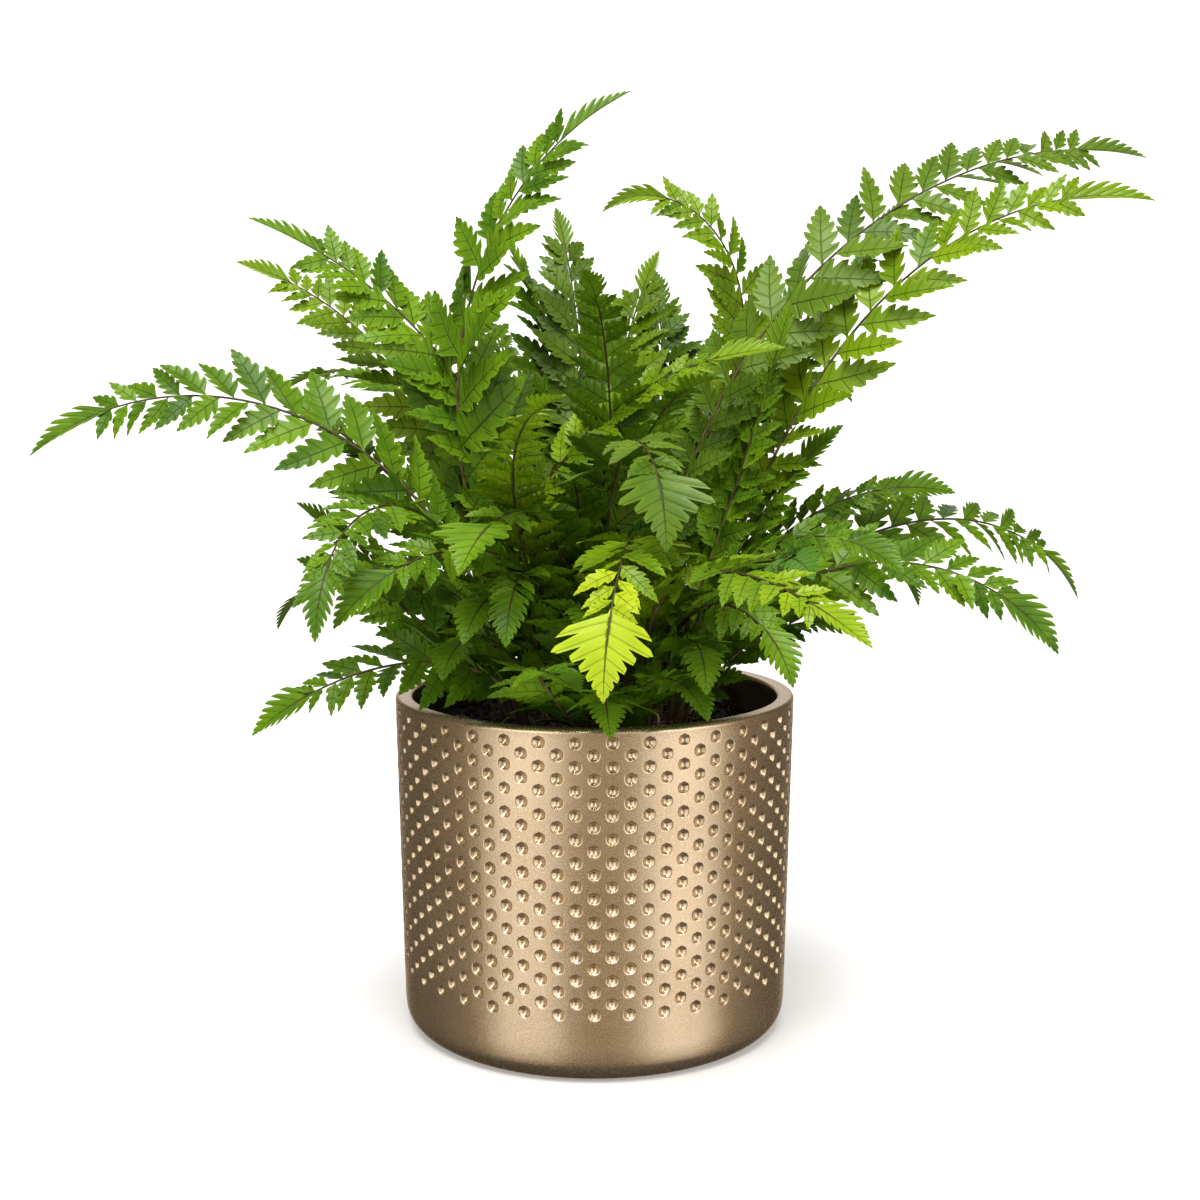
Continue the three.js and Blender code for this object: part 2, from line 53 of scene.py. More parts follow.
# The pot
POT_HEIGHT = 118 * MM
POT_RADIUS = 70 * MM
FOOT_RADIUS = 67.6 * MM
FOOT_ROUNDING = 8 * MM
WALL = 6 * MM
LIP_ROUNDING = 1.6 * MM
INNER_CORNER = 4 * MM
UNDERSIDE_RING = 30 * MM
# The pits stand in columns, one pit to each cell of PIT_PITCH in height. A pit lies above its cell's
# middle by PIT_RAISE, strays from there by up to PIT_JITTER, and is larger or smaller by a factor in
# PIT_SIZES.
PIT_COLUMNS = 74
PIT_ROWS = 12
PIT_PITCH = 7.8 * MM
PITS_TOP = 116.4 * MM
PIT_RAISE = 1.1 * MM
PIT_RADIUS = 1.95 * MM
PIT_SIZES = (0.94, 1.03)
PIT_JITTER = 0.1 * MM
# A pit's rings, each as a share of its radius and a depth, and the depth of its middle.
PIT_PROFILE = [
    (1.32, 0.0), (1.18, 0.0), (1.05, 0.07 * MM), (0.92, 0.31 * MM), (0.70, 0.78 * MM), (0.38, 1.22 * MM)]
PIT_DEPTH = 1.4 * MM

# The soil. A crumb's radius is the first size plus the second times the cube of a random number, and it
# stands out of the soil by CRUMB_RISE of that.
SOIL_TOP = 106 * MM
SOIL_GAP = 0.4 * MM
SOIL_BUMP = 1.3 * MM
SOIL_SHOULDER = 6 * MM
# Over the outermost share of its radius it gets smoother by EDGE_SMOOTHING, and sinks.
SOIL_EDGE = 0.2
EDGE_SMOOTHING = 0.6
EDGE_SINK = 1.0 * MM
CRUMBS = 900
CRUMB_SIZES = (0.7 * MM, 1.9 * MM)
CRUMB_RISE = 0.3
CRUMB_STRETCHES = (0.6, 1.3)
CRUMB_DENTS = (0.8, 1.2)
# The loose roots: how far out they start, how long, thick and high they are, and how far they turn.
ROOTS = 34
ROOT_STARTS = (18 * MM, 58 * MM)
ROOT_LENGTHS = (12 * MM, 34 * MM)
ROOT_RADII = (0.25 * MM, 0.6 * MM)
ROOT_LIFTS = (0.4 * MM, 3.4 * MM)
ROOT_TURN = 2.2
ROOT_STEPS = 12
ROOT_SIDES = 6
# Crumbs and roots keep this far off the pot's wall.
WALL_CLEARANCE = 3 * MM

# The fronds. Their stems stand this deep in the soil, and get thinner from foot to tip with the share of
# the length raised to STEM_POWER. A short frond's stem is no thicker than its length divided by
# STEM_SLENDERNESS. It runs on into the tip blade by STEM_REACH.
ROOTED = 9 * MM
STIPE_RADIUS = 0.85 * MM
TIP_RADIUS = 0.22 * MM
STEM_SLENDERNESS = 150
STEM_REACH = 0.5
STEM_RINGS = 44
STEM_SIDES = 7
STEM_POWER = 0.8
CURVE_STEPS = 80
# A tube's first and last rings are drawn in to this share.
TUBE_END = 0.4
TUBE_LEAN = (0.13, 0.21, 0.97)

# The leaflets. A leaflet is spaced from the next on its side by a share of its length. The lengths start at a
# share of the frond's longest, are full from FULL_FROM of the leafy part, and taper to the tip by a power.
LEAFLET_SPACING = 0.56
LOWEST_LEAFLET = 0.78
FULL_FROM = 0.2
LEAFLET_TAPER = 0.64
TAPER_POWER = 1.5
LENGTH_SPREAD = (0.93, 1.05)
# Here the leaflets are longer than on the solids, and the small ones more so than the large ones.
LEAFLET_GROWTHS = (1.36, 1.24)
GROWTH_LENGTHS = (19 * MM, 24 * MM)
# The solids' leaflets start where the bare length ends. Here small ones also grow on it, from
# LEAFLETS_FROM of it upwards, or from BARE_FROM on bare stems. They have SMALLEST_LEAFLET of the length at
# LOWEST_SHARE, which is a share of the leafy part, counted down from its start.
LEAFLETS_FROM = 0.42
BARE_FROM = 0.9
LOWEST_SHARE = -0.3
SMALLEST_LEAFLET = 0.6
# The inner fronds have smaller leaflets, closer together, by these factors.
FINE_GROWTH = 0.74
FINE_SPACING = 0.68
FINE_LEAVED = ("heart", "mid", "side", "right_second", "right_inner", "right_mid", "left_second")
# The fronds of the crown, and two long ones beside it, have longer leaflets, by this factor.
FULL_GROWTH = 1.28
FULL_LEAVED = (
    "crown_left", "crown_mid", "crown_near", "crown_right", "top_centre", "back_centre", "top_tall",
    "left_upper")
# The leaflets longer than this have the blade with more lobes.
LARGE_LEAFLET = 15 * MM
# Degrees: the sweep towards the tip at the frond's foot and tip, the lift, and how far each leaflet strays
# from these and twists about its own rib.
LEAFLET_SWEEPS = (34, 44)
SWEEP_SPREAD = 6
LEAFLET_LIFT = 4
LIFT_SPREAD = 17
TWIST_SPREAD = 24
# Shares of a leaflet's length: its droop, the range that this is multiplied by, the fold along its rib, its
# bend to one side, and the waves of its margins. Their angle turns by WAVE_TURN over the length, from a
# start of WAVE_START times the bend. BREADTHS multiplies its width.
LEAFLET_DROOP = 0.16
DROOP_RANGE = (0.2, 1.9)
FOLDS = (0.08, 0.42)
SWAY = 0.09
MARGIN_WAVE = 0.012
WAVE_TURN = 9
WAVE_START = 40
BREADTHS = (0.84, 1.1)
BLADE_THICKNESS = 0.3 * MM
# Shares of a blade's length: half its width at its foot and half its stalk's. The ear of the other side is
# this much of an ear.
FOOT_HALF = 0.03
STALK_HALF = 0.012
OTHER_EAR = 0.4
# Its rows start this far along the rib, and lie closer together towards the tip by a power. The outline
# narrows to the foot by another, the notches fade towards the tip, and so does the thickness.
RIB_START = 0.05
RIB_POWER = 1.15
FOOT_POWER = 1.6
NOTCH_FADE = 0.55
TIP_THICKNESS = 0.3

# A tip blade's length, and how far the leaflets reach past its start, as shares of the frond's longest
# leaflet, then its fold and the range of its tint.
BLADE_TIP = 1.25
TIP_OVERLAP = 0.1
TIP_FOLD = 0.3
TIP_TINTS = (0.2, 0.9)
# Its width as a share of the broadest, on short and on long fronds, and the lengths of these.
TIP_WIDTHS = (1.0, 0.46)
TIP_LENGTHS = (150 * MM, 210 * MM)

# Each frond: its name, the distance and the direction of its foot from the pot's axis, the directions that
# it heads for at its foot and at its tip, the slopes there, how late it bends, its length, its roll,
# its longest leaflet, the share of it that is bare, and its tone. Millimetres and degrees.
FROND_COLUMNS = [
    "name", "seat", "seat_angle", "head_foot", "head_tip", "rise_foot", "rise_tip", "bend", "length", "roll",
    "leaf", "bare", "tone",
]
FRONDS = [
    ("left_long", 26, -158, -159, -176, 76, -42, 1.55, 230, -50, 26, 0.34, "deep"),
    ("left_upper", 16, 158, 157, 189, 90, 20, 1.25, 220, -40, 24, 0.3, "mid"),
    ("left_behind", 24, 155, 155, 156, 80, 13, 1.45, 220, -45, 22, 0.34, "light"),
    ("top_tall", 16, 176, 3, 5, 115, 26, 1.7, 246, 35, 25, 0.28, "mid"),
    ("top_centre", 16, 97, 97, 107, 90, 44, 1.9, 198, 0, 19, 0.26, "grey"),
    ("top_curl", 16, -40, -125, -181, 117, -42, 4, 232, -70, 21, 0.3, "light"),
    ("right_upper", 20, -21, -9, 23, 90, -9, 1.3, 311, 45, 26, 0.32, "grey"),
    ("right_bright", 26, -8, -8, -13, 71, -14, 2.65, 261, 50, 25, 0.38, "light"),
    ("right_inner", 22, 39, 39, 14, 64, 54, 1.25, 218, 30, 23, 0.3, "mid"),
    ("right_low_back", 28, 8, -6, 25, 58, -60, 1.65, 195, 40, 22, 0.34, "deep"),
    ("right_low", 28, -22, -21, -12, 68, -58, 1.3, 168, 45, 23, 0.3, "deep"),
    ("rim_left", 32, -132, -118, -176, 73, -43, 0.75, 121, -30, 20, 0.26, "deep"),
    ("left_mid", 30, 176, 147, 222, 60, 36, 0.6, 112, -40, 20, 0.26, "mid"),
    ("left_hang", 28, -145, -147, -100, 81, -80, 1.6, 181, -15, 18, 0.34, "deep"),
    ("left_small", 34, -172, -167, -173, 80, 18, 0.6, 95, -45, 18, 0.26, "mid"),
    ("left_broad", 26, -118, -96, -149, 90, -51, 1.15, 154, -25, 22, 0.28, "mid"),
    ("mid_top", 10, -116, -130, -62, 61, 6, 1.7, 187, 0, 20, 0.36, "light"),
    ("mid_right", 16, -150, -17, -16, 136, 2, 0.75, 189, 40, 22, 0.34, "light"),
    ("right_second", 20, -34, -9, -22, 66, 75, 0.75, 156, 50, 20, 0.36, "mid"),
    ("back_centre", 22, 116, 120, 48, 78, 33, 1.5, 181, 20, 21, 0.28, "mid"),
    ("front_pale", 20, -82, -84, -75, 90, -90, 2.1, 181, 0, 22, 0.32, "grey"),
    ("front_left", 24, -102, -102, -118, 90, -53, 1.55, 149, 0, 20, 0.3, "deep"),
    ("front_yellow", 26, -72, -75, -108, 80, -90, 1.55, 172, 0, 22, 0.3, "light"),
    ("front_lime", 28, -56, -90, -46, 90, -30, 0.72, 176, 15, 20, 0.3, "light"),
    ("rim_right", 34, -58, -58, -52, 90, -71, 1.3, 114, 20, 18, 0.26, "mid"),
    ("front_bottom", 34, -80, -59, -69, 61, -40, 1.25, 79, 0, 16, 0.22, "deep"),
    ("front_small", 34, -110, -111, -98, 91, -76, 1.7, 117, 0, 17, 0.24, "mid"),
    ("front_tiny", 38, -92, -130, -57, 45, -13, 1.3, 107, 0, 16, 0.24, "deep"),
    ("front_dark", 36, -72, -110, -82, 50, -39, 1.4, 76, 0, 16, 0.22, "deep"),
    ("front_low_left", 34, -121, -107, -112, 96, -54, 1.35, 105, -10, 18, 0.26, "deep"),
    ("right_small", 36, -30, -18, -26, 68, -27, 1.5, 84, 35, 17, 0.28, "mid"),
    ("glossy", 34, -42, -31, -77, 66, -33, 2.4, 114, 30, 17, 0.3, "grey"),
    ("back_left", 26, 132, 128, 140, 78, -25, 1.4, 230, 0, 23, 0.28, "mid"),
    ("back_right", 26, 62, 58, 50, 78, -30, 1.4, 235, 0, 23, 0.28, "deep"),
    ("back_low", 32, 92, 92, 96, 72, -62, 1.3, 185, 0, 22, 0.28, "deep"),
    ("back_low_left", 34, 156, 152, 146, 66, -60, 1.3, 140, -20, 21, 0.28, "deep"),
    ("back_low_right", 34, 34, 34, 42, 66, -60, 1.3, 170, 20, 21, 0.28, "mid"),
    ("heart_left", 12, -169, 172, 160, 86, 30, 1.5, 150, -40, 21, 0.3, "mid"),
    ("heart_front", 15, -98, -98, -92, 88, -10, 1.6, 135, 0, 20, 0.32, "mid"),
    ("heart_right", 12, 5, 12, 24, 86, 30, 1.5, 160, 40, 21, 0.3, "deep"),
    ("heart_back", 14, 75, 80, 70, 86, 10, 1.5, 170, 0, 21, 0.3, "mid"),
    ("back_left_tall", 26, 118, 108, 118, 78, 22, 1.5, 200, 0, 20, 0.3, "deep"),
    ("back_right_tall", 26, 48, 66, 60, 80, 22, 1.5, 190, 0, 20, 0.3, "mid"),
    ("left_front", 32, -143, -137, -146, 80, -40, 1.4, 122, -20, 19, 0.26, "deep"),
    ("right_front", 30, -33, -43, -36, 82, -40, 1.5, 135, 25, 19, 0.26, "deep"),
    ("right_mid", 32, 0, 2, -4, 78, -15, 1.5, 140, 40, 19, 0.28, "mid"),
    ("crown_left", 20, 100, 96, 150, 88, 52, 1.6, 188, 10, 18, 0.4, "mid"),
    ("crown_mid", 8, 100, 70, 60, 86, 45, 1.8, 182, -5, 18, 0.42, "light"),
    ("crown_near", 18, 28, 60, 100, 78, 50, 1.6, 178, -10, 18, 0.42, "mid"),
    ("crown_right", 26, 25, 50, 30, 76, 50, 1.6, 176, 15, 18, 0.42, "deep"),
    ("crown_front", 8, -40, -84, -104, 90, 14, 2.6, 178, 0, 17, 0.42, "mid"),
    ("low_left", 30, -128, -140, -100, 82, -45, 1.2, 88, 0, 18, 0.2, "mid"),
    ("low_right", 30, -50, -60, -90, 80, -50, 1.2, 92, 0, 18, 0.2, "deep"),
    ("low_mid", 28, -95, -100, -80, 84, -40, 1.4, 96, 0, 18, 0.2, "mid"),
    ("side_right", 30, -12, -20, -5, 78, 40, 1.4, 122, 40, 17, 0.34, "mid"),
    ("left_second", 26, -172, -172, -185, 76, 25, 1.3, 150, -45, 20, 0.3, "mid"),
    ("heart_high", 10, -66, -80, -60, 84, 0, 1.8, 165, 0, 20, 0.34, "deep"),
]

# The studio: the light and the colour of its sky, and the light of its ceiling with the heights between which
# that rises. A height is the third part of a direction of length one.
SKY_LIGHT = 0.08
SKY_COLOUR = (1.0, 0.80, 0.56)
WHITE = (1.0, 1.0, 1.0)
CEILING_LIGHT = 0.2
CEILING_RISE = (0.45, 0.95)
# Its soft bands: the azimuth of each one's middle from the front and its half width in degrees, and its
# light. They fade in between the heights of GROUND_FADE, gain BAND_GAIN over those of BAND_RISE, and end
# over those of BAND_END.
SOFT_BANDS = [
    (5, 80, 0.36), (-42, 35, 1.4), (-60, 60, 0.12), (53, 36, 1.5), (70, 60, 0.16), (172, 26, 0.6),
    (-172, 26, 0.6)]
GROUND_FADE = (-0.75, -0.3)
BAND_RISE = (0.1, 0.45)
BAND_GAIN = 0.9
BAND_END = (0.5, 0.85)
# The key light, nearly overhead and a little to the front.
KEY_PLACE = (-0.1, -0.6, 1.5)
KEY_AIM = (0, 0, 0.18)
KEY_SIZE = (0.9, 0.9)
KEY_POWER = 42
# The band's full light lies within BAND_CORE of its half width. The sky's light never falls below
# SKY_LOW of itself. The light is warm as the sky is when dim, and white when bright.
BAND_CORE = 0.2
SKY_LOW = 0.35
WARM_TO_WHITE = (0.2, 1.0)
# The floor: half its width, how far it runs to the front and to where it curves up, the radius of that
# curve and the height of the backdrop.
FLOOR_HALF = 4
FLOOR_ENDS = (-3, 1.6)
FLOOR_CURVE = 0.9
BACKDROP = 4.0
# Its own shade, and the glow of its painted light near the pot and far from it, with the distances between
# which the glow rises.
FLOOR_SHADE = 0.58
FLOOR_GLOWS = (0.20, 0.60)
GLOW_RISE = (0.07, 0.15)
# The camera, fitted to the rims of the pot in the photograph: its place, its lens and how far it looks down.
CAMERA_PLACE = (0.0019, -0.6044, 0.2293)
CAMERA_LENS = 52.08
CAMERA_DIP = 7.47

# Leaf tones: the blade's colour, and the paler colour that it turns to in patches.
TONES = {
    "deep": ((0.020, 0.060, 0.002), (0.086, 0.164, 0.004)),
    "mid": ((0.023, 0.066, 0.002), (0.092, 0.174, 0.004)),
    "light": ((0.056, 0.114, 0.001), (0.128, 0.202, 0.004)),
    "grey": ((0.035, 0.076, 0.004), (0.080, 0.136, 0.009)),
    "fresh": ((0.110, 0.185, 0.002), (0.170, 0.250, 0.005)),
    "young": ((0.180, 0.255, 0.004), (0.270, 0.340, 0.010)),
    "wet": ((0.028, 0.088, 0.006), (0.060, 0.150, 0.014)),
}
# How glossy a blade is: its specular level and the range of its roughness, and the same for wet blades.
GLOSS = (0.13, 0.26, 0.46)
WET_GLOSS = (0.60, 0.16, 0.34)
# How far a blade turns to its paler colour by its patches, by its leaflet's tint and at its margins, and
# how dark its veins and its rib are.
PATCH_SHARE = 0.42
TINT_SHARE = 0.72
MARGIN_SHARE = 0.35
VEIN_SHARE = 0.16
RIB_SHARE = 0.8
# Where these begin and end, in the UV map: distances from the rib, and from the vein's place in its lobe.
RIB_EDGE = (0.010, 0.034)
MARGIN_EDGE = (0.33, 0.5)
VEIN_PLACE = 0.62
VEIN_EDGE = (0.02, 0.11)
RIB_COLOUR = (0.020, 0.034, 0.003)
# The stem's colours: at its foot, above it, where the leaflets grow, and in patches.
STEM_COLOURS = ((0.036, 0.018, 0.008), (0.125, 0.108, 0.030), (0.030, 0.030, 0.008), (0.038, 0.024, 0.009))
STEM_FOOT = (0.0, 0.22)
STEM_LEAFY = (0.36, 0.6)
# The other finishes: the colours of their ground and of their patches.
GLAZE_COLOURS = ((0.43, 0.310, 0.185), (0.51, 0.380, 0.240))
GLAZE_ROUGHNESS = (0.20, 0.32)
GLAZE_METAL = 0.92
FLAKE_COLOUR = (0.59, 0.46, 0.305)
FLAKE_EDGE = (0.42, 0.66)
INNER_GLAZE_COLOURS = ((0.050, 0.036, 0.024), (0.105, 0.078, 0.052))
SOIL_COLOURS = ((0.005, 0.0035, 0.0025), (0.022, 0.014, 0.009))
SOIL_GRAIN_COLOUR = (0.012, 0.008, 0.005)
ROOT_COLOURS = ((0.055, 0.030, 0.014), (0.21, 0.125, 0.065))
# The fronds whose end has a tone of its own, the fronds whose tip blade is a broad one, and the fronds whose
# stems are bare far up.
END_TONES = {"front_yellow": "young", "front_lime": "fresh", "glossy": "wet", "heart_left": "wet"}
BROAD_TIPPED = {"front_yellow", "front_pale", "front_left"}
BARE_STEMMED = {
    "right_upper", "right_bright", "left_long", "top_tall", "top_curl", "right_second", "side_right",
    "right_mid", "right_inner"}


# Small helpers

def unit(vectors):
    """Vectors scaled to length one."""
    return vectors / np.linalg.norm(vectors, axis=-1, keepdims=True)


def mix(low, high, share):
    """The value a share of the way from low to high."""
    return low + (high - low) * share


def make_piece(name, points, faces, materials, looks=None, uv=None, tint=None):
    """A mesh object from points and groups of faces.

    Each group of faces is an array of point numbers, one row for each face, and looks gives each group's
    material. uv and tint are given for each point, and tint is kept as the attribute leaf_tint.
    """
    mesh = bpy.data.meshes.new(name)
    corners = np.concatenate([group.ravel() for group in faces])
    sizes = np.concatenate([np.full(len(group), group.shape[1]) for group in faces])
    mesh.vertices.add(len(points))
    mesh.vertices.foreach_set("co", np.asarray(points, np.float32).ravel())
    mesh.loops.add(len(corners))
    mesh.loops.foreach_set("vertex_index", corners.astype(np.int32))
    mesh.polygons.add(len(sizes))
    mesh.polygons.foreach_set("loop_start", np.concatenate([[0], np.cumsum(sizes)[:-1]]).astype(np.int32))
    for material in materials:
        mesh.materials.append(material)
    if looks is not None:
        slots = np.concatenate([np.full(len(group), look) for group, look in zip(faces, looks)])
        mesh.polygons.foreach_set("material_index", slots.astype(np.int32))
    if uv is not None:
        layer = mesh.uv_layers.new(name="UVMap")
        layer.data.foreach_set("uv", np.asarray(uv, np.float32)[corners].ravel())
    if tint is not None:
        attribute = mesh.attributes.new("leaf_tint", "FLOAT", "POINT")
        attribute.data.foreach_set("value", np.asarray(tint, np.float32))
    mesh.update(calc_edges=True)
    mesh.validate()
    mesh.shade_smooth()
    mesh.set_sharp_from_angle(angle=math.radians(SHARP_ANGLE))
    piece = bpy.data.objects.new(name, mesh)
    bpy.context.scene.collection.objects.link(piece)
    return piece


def grid_faces(rows, columns, closed=False):
    """Quads over a grid of points stored row by row. A closed grid joins its last column to its first."""
    row = np.arange(rows - 1)[:, None]
    column = np.arange(columns if closed else columns - 1)[None, :]
    following = (column + 1) % columns
    quads = [row * columns + column, row * columns + following,
             (row + 1) * columns + following, (row + 1) * columns + column]
    return np.stack(np.broadcast_arrays(*quads), axis=-1).reshape(-1, 4)


def shell_faces(rows, columns):
    """Quads of a closed grid, which is a tube, and its two ends as faces with a corner for each column."""
    ends = np.stack([np.arange(columns)[::-1], (rows - 1) * columns + np.arange(columns)])
    return grid_faces(rows, columns, closed=True), ends


def around(radius, angle, height):
    """Points at a radius and an angle about the pot's axis."""
    return np.stack(np.broadcast_arrays(radius * np.cos(angle), radius * np.sin(angle), height), axis=-1)


# Shader building

def node(tree, kind, inputs=None, **settings):
    """A shader node with its settings and inputs. An input is a value or another node's output."""
    made = tree.nodes.new(kind)
    for key, value in settings.items():
        setattr(made, key, value)
    for key, value in (inputs or {}).items():
        if isinstance(value, bpy.types.NodeSocket):
            tree.links.new(value, made.inputs[key])
        else:
            made.inputs[key].default_value = value
    return made


def new_material(name):
    """An empty node material with its Principled shader already joined to the output."""
    material = bpy.data.materials.new(name)
    material.use_nodes = True
    tree = material.node_tree
    tree.nodes.clear()
    shader = tree.nodes.new("ShaderNodeBsdfPrincipled")
    output = tree.nodes.new("ShaderNodeOutputMaterial")
    tree.links.new(shader.outputs["BSDF"], output.inputs["Surface"])
    return material, tree, shader


def math_node(tree, operation, first, second=0.0):
    """The output of a Math node."""
    return node(tree, "ShaderNodeMath", {0: first, 1: second}, operation=operation).outputs[0]


def smooth_step(tree, value, low, high):
    """0 below low, 1 above high, and smooth between."""
    ramp = node(tree, "ShaderNodeMapRange", {"Value": value, "From Min": low, "From Max": high},
                interpolation_type="SMOOTHSTEP")
    return ramp.outputs["Result"]


def blend(tree, share, first, second):
    """A colour mixed from two colours by a share."""
    mixer = node(tree, "ShaderNodeMix", data_type="RGBA")
    sockets = mixer.inputs["Factor"], mixer.inputs[6], mixer.inputs[7]
    for socket, value in zip(sockets, (share, first, second)):
        if isinstance(value, bpy.types.NodeSocket):
            tree.links.new(value, socket)
        elif isinstance(value, tuple):
            socket.default_value = (*value, 1.0)
        else:
            socket.default_value = value
    return mixer.outputs[2]


def noise(tree, scale, detail=3.0):
    """The value of a noise at a scale in cells for each metre, on Object coordinates."""
    at = node(tree, "ShaderNodeTexCoord").outputs["Object"]
    made = node(tree, "ShaderNodeTexNoise", {"Vector": at, "Scale": scale, "Detail": detail})
    return made.outputs["Fac"]


def make_mottle_group():
    """Patches and grain on Object coordinates, for any surface: a slow value and a fine one, 0 to 1 each."""
    group = bpy.data.node_groups.new("mottle_and_grain", "ShaderNodeTree")
    for name, value in (("Patch Scale", 60.0), ("Grain Scale", 1500.0)):
        socket = group.interface.new_socket(name=name, in_out="INPUT", socket_type="NodeSocketFloat")
        socket.default_value = value
    for name in ("Patches", "Grain"):
        group.interface.new_socket(name=name, in_out="OUTPUT", socket_type="NodeSocketFloat")
    given = group.nodes.new("NodeGroupInput")
    result = group.nodes.new("NodeGroupOutput")
    patches = smooth_step(group, noise(group, given.outputs["Patch Scale"]), 0.35, 0.68)
    grain = noise(group, given.outputs["Grain Scale"], detail=2.0)
    group.links.new(patches, result.inputs["Patches"])
    group.links.new(grain, result.inputs["Grain"])
    return group


MOTTLE = make_mottle_group()


def mottle(tree, patch_scale, grain_scale):
    """The shared patches and grain in a material: the outputs of both."""
    made = node(tree, "ShaderNodeGroup", node_tree=MOTTLE)
    made.inputs["Patch Scale"].default_value = patch_scale
    made.inputs["Grain Scale"].default_value = grain_scale
    return made.outputs["Patches"], made.outputs["Grain"]


def bump(tree, height, strength, distance):
    """The normal of a bump."""
    made = node(tree, "ShaderNodeBump", {"Height": height, "Strength": strength, "Distance": distance})
    return made.outputs["Normal"]


def grainy(tree, grain, low, high):
    """A value that follows the grain, from low to high."""
    spread = node(tree, "ShaderNodeMapRange", {"Value": grain, "To Min": low, "To Max": high})
    return spread.outputs["Result"]


def glaze_material():
    """Gold-bronze metallic glaze: fine pale flakes over slow cloudy patches, with a satin gloss."""
    material, tree, shader = new_material("gold_bronze_glaze")
    patches, grain = mottle(tree, 38.0, 2300.0)
    flakes = smooth_step(tree, grain, *FLAKE_EDGE)
    colour = blend(tree, flakes, blend(tree, patches, *GLAZE_COLOURS), FLAKE_COLOUR)
    tree.links.new(colour, shader.inputs["Base Color"])
    tree.links.new(grainy(tree, grain, *GLAZE_ROUGHNESS), shader.inputs["Roughness"])
    tree.links.new(bump(tree, grain, 0.12, 0.25 * MM), shader.inputs["Normal"])
    shader.inputs["Metallic"].default_value = GLAZE_METAL
    return material


def inner_glaze_material():
    """The pot's inside: a dark brown glaze, glossier than the outside."""
    material, tree, shader = new_material("dark_inner_glaze")
    patches, grain = mottle(tree, 70.0, 900.0)
    tree.links.new(blend(tree, patches, *INNER_GLAZE_COLOURS), shader.inputs["Base Color"])
    tree.links.new(bump(tree, grain, 0.15, 0.2 * MM), shader.inputs["Normal"])
    shader.inputs["Metallic"].default_value = 0.35
    shader.inputs["Roughness"].default_value = 0.28
    return material


def soil_material():
    """Damp potting soil: near black, with brown patches and a coarse grain."""
    material, tree, shader = new_material("damp_soil")
    patches, grain = mottle(tree, 240.0, 1600.0)
    colour = blend(tree, patches, *SOIL_COLOURS)
    tree.links.new(blend(tree, grain, colour, SOIL_GRAIN_COLOUR), shader.inputs["Base Color"])
    tree.links.new(bump(tree, grain, 0.8, 0.6 * MM), shader.inputs["Normal"])
    shader.inputs["Roughness"].default_value = 0.9
    shader.inputs["Specular IOR Level"].default_value = 0.15
    return material


def root_material():
    """Dry roots and bits of bark: light brown with darker lengths."""
    material, tree, shader = new_material("dry_root")
    patches, grain = mottle(tree, 160.0, 1200.0)
    tree.links.new(blend(tree, patches, *ROOT_COLOURS), shader.inputs["Base Color"])
    tree.links.new(bump(tree, grain, 0.5, 0.3 * MM), shader.inputs["Normal"])
    shader.inputs["Roughness"].default_value = 0.8
    return material


def stem_material():
    """A frond's stem: brown at its foot, olive above, and nearly black brown where the leaflets grow.

    The UV map runs round the stem across, and from its foot to its tip along.
    """
    material, tree, shader = new_material("frond_stem")
    along = node(tree, "ShaderNodeSeparateXYZ", {0: node(tree, "ShaderNodeUVMap").outputs["UV"]}).outputs["Y"]
    patches, grain = mottle(tree, 130.0, 1400.0)
    brown, olive, dark, patch = STEM_COLOURS
    lower = blend(tree, smooth_step(tree, along, *STEM_FOOT), brown, olive)
    whole = blend(tree, smooth_step(tree, along, *STEM_LEAFY), lower, dark)
    tree.links.new(blend(tree, patches, whole, patch), shader.inputs["Base Color"])
    tree.links.new(bump(tree, grain, 0.3, 0.15 * MM), shader.inputs["Normal"])
    shader.inputs["Roughness"].default_value = 0.5
    shader.inputs["Specular IOR Level"].default_value = 0.25
    return material


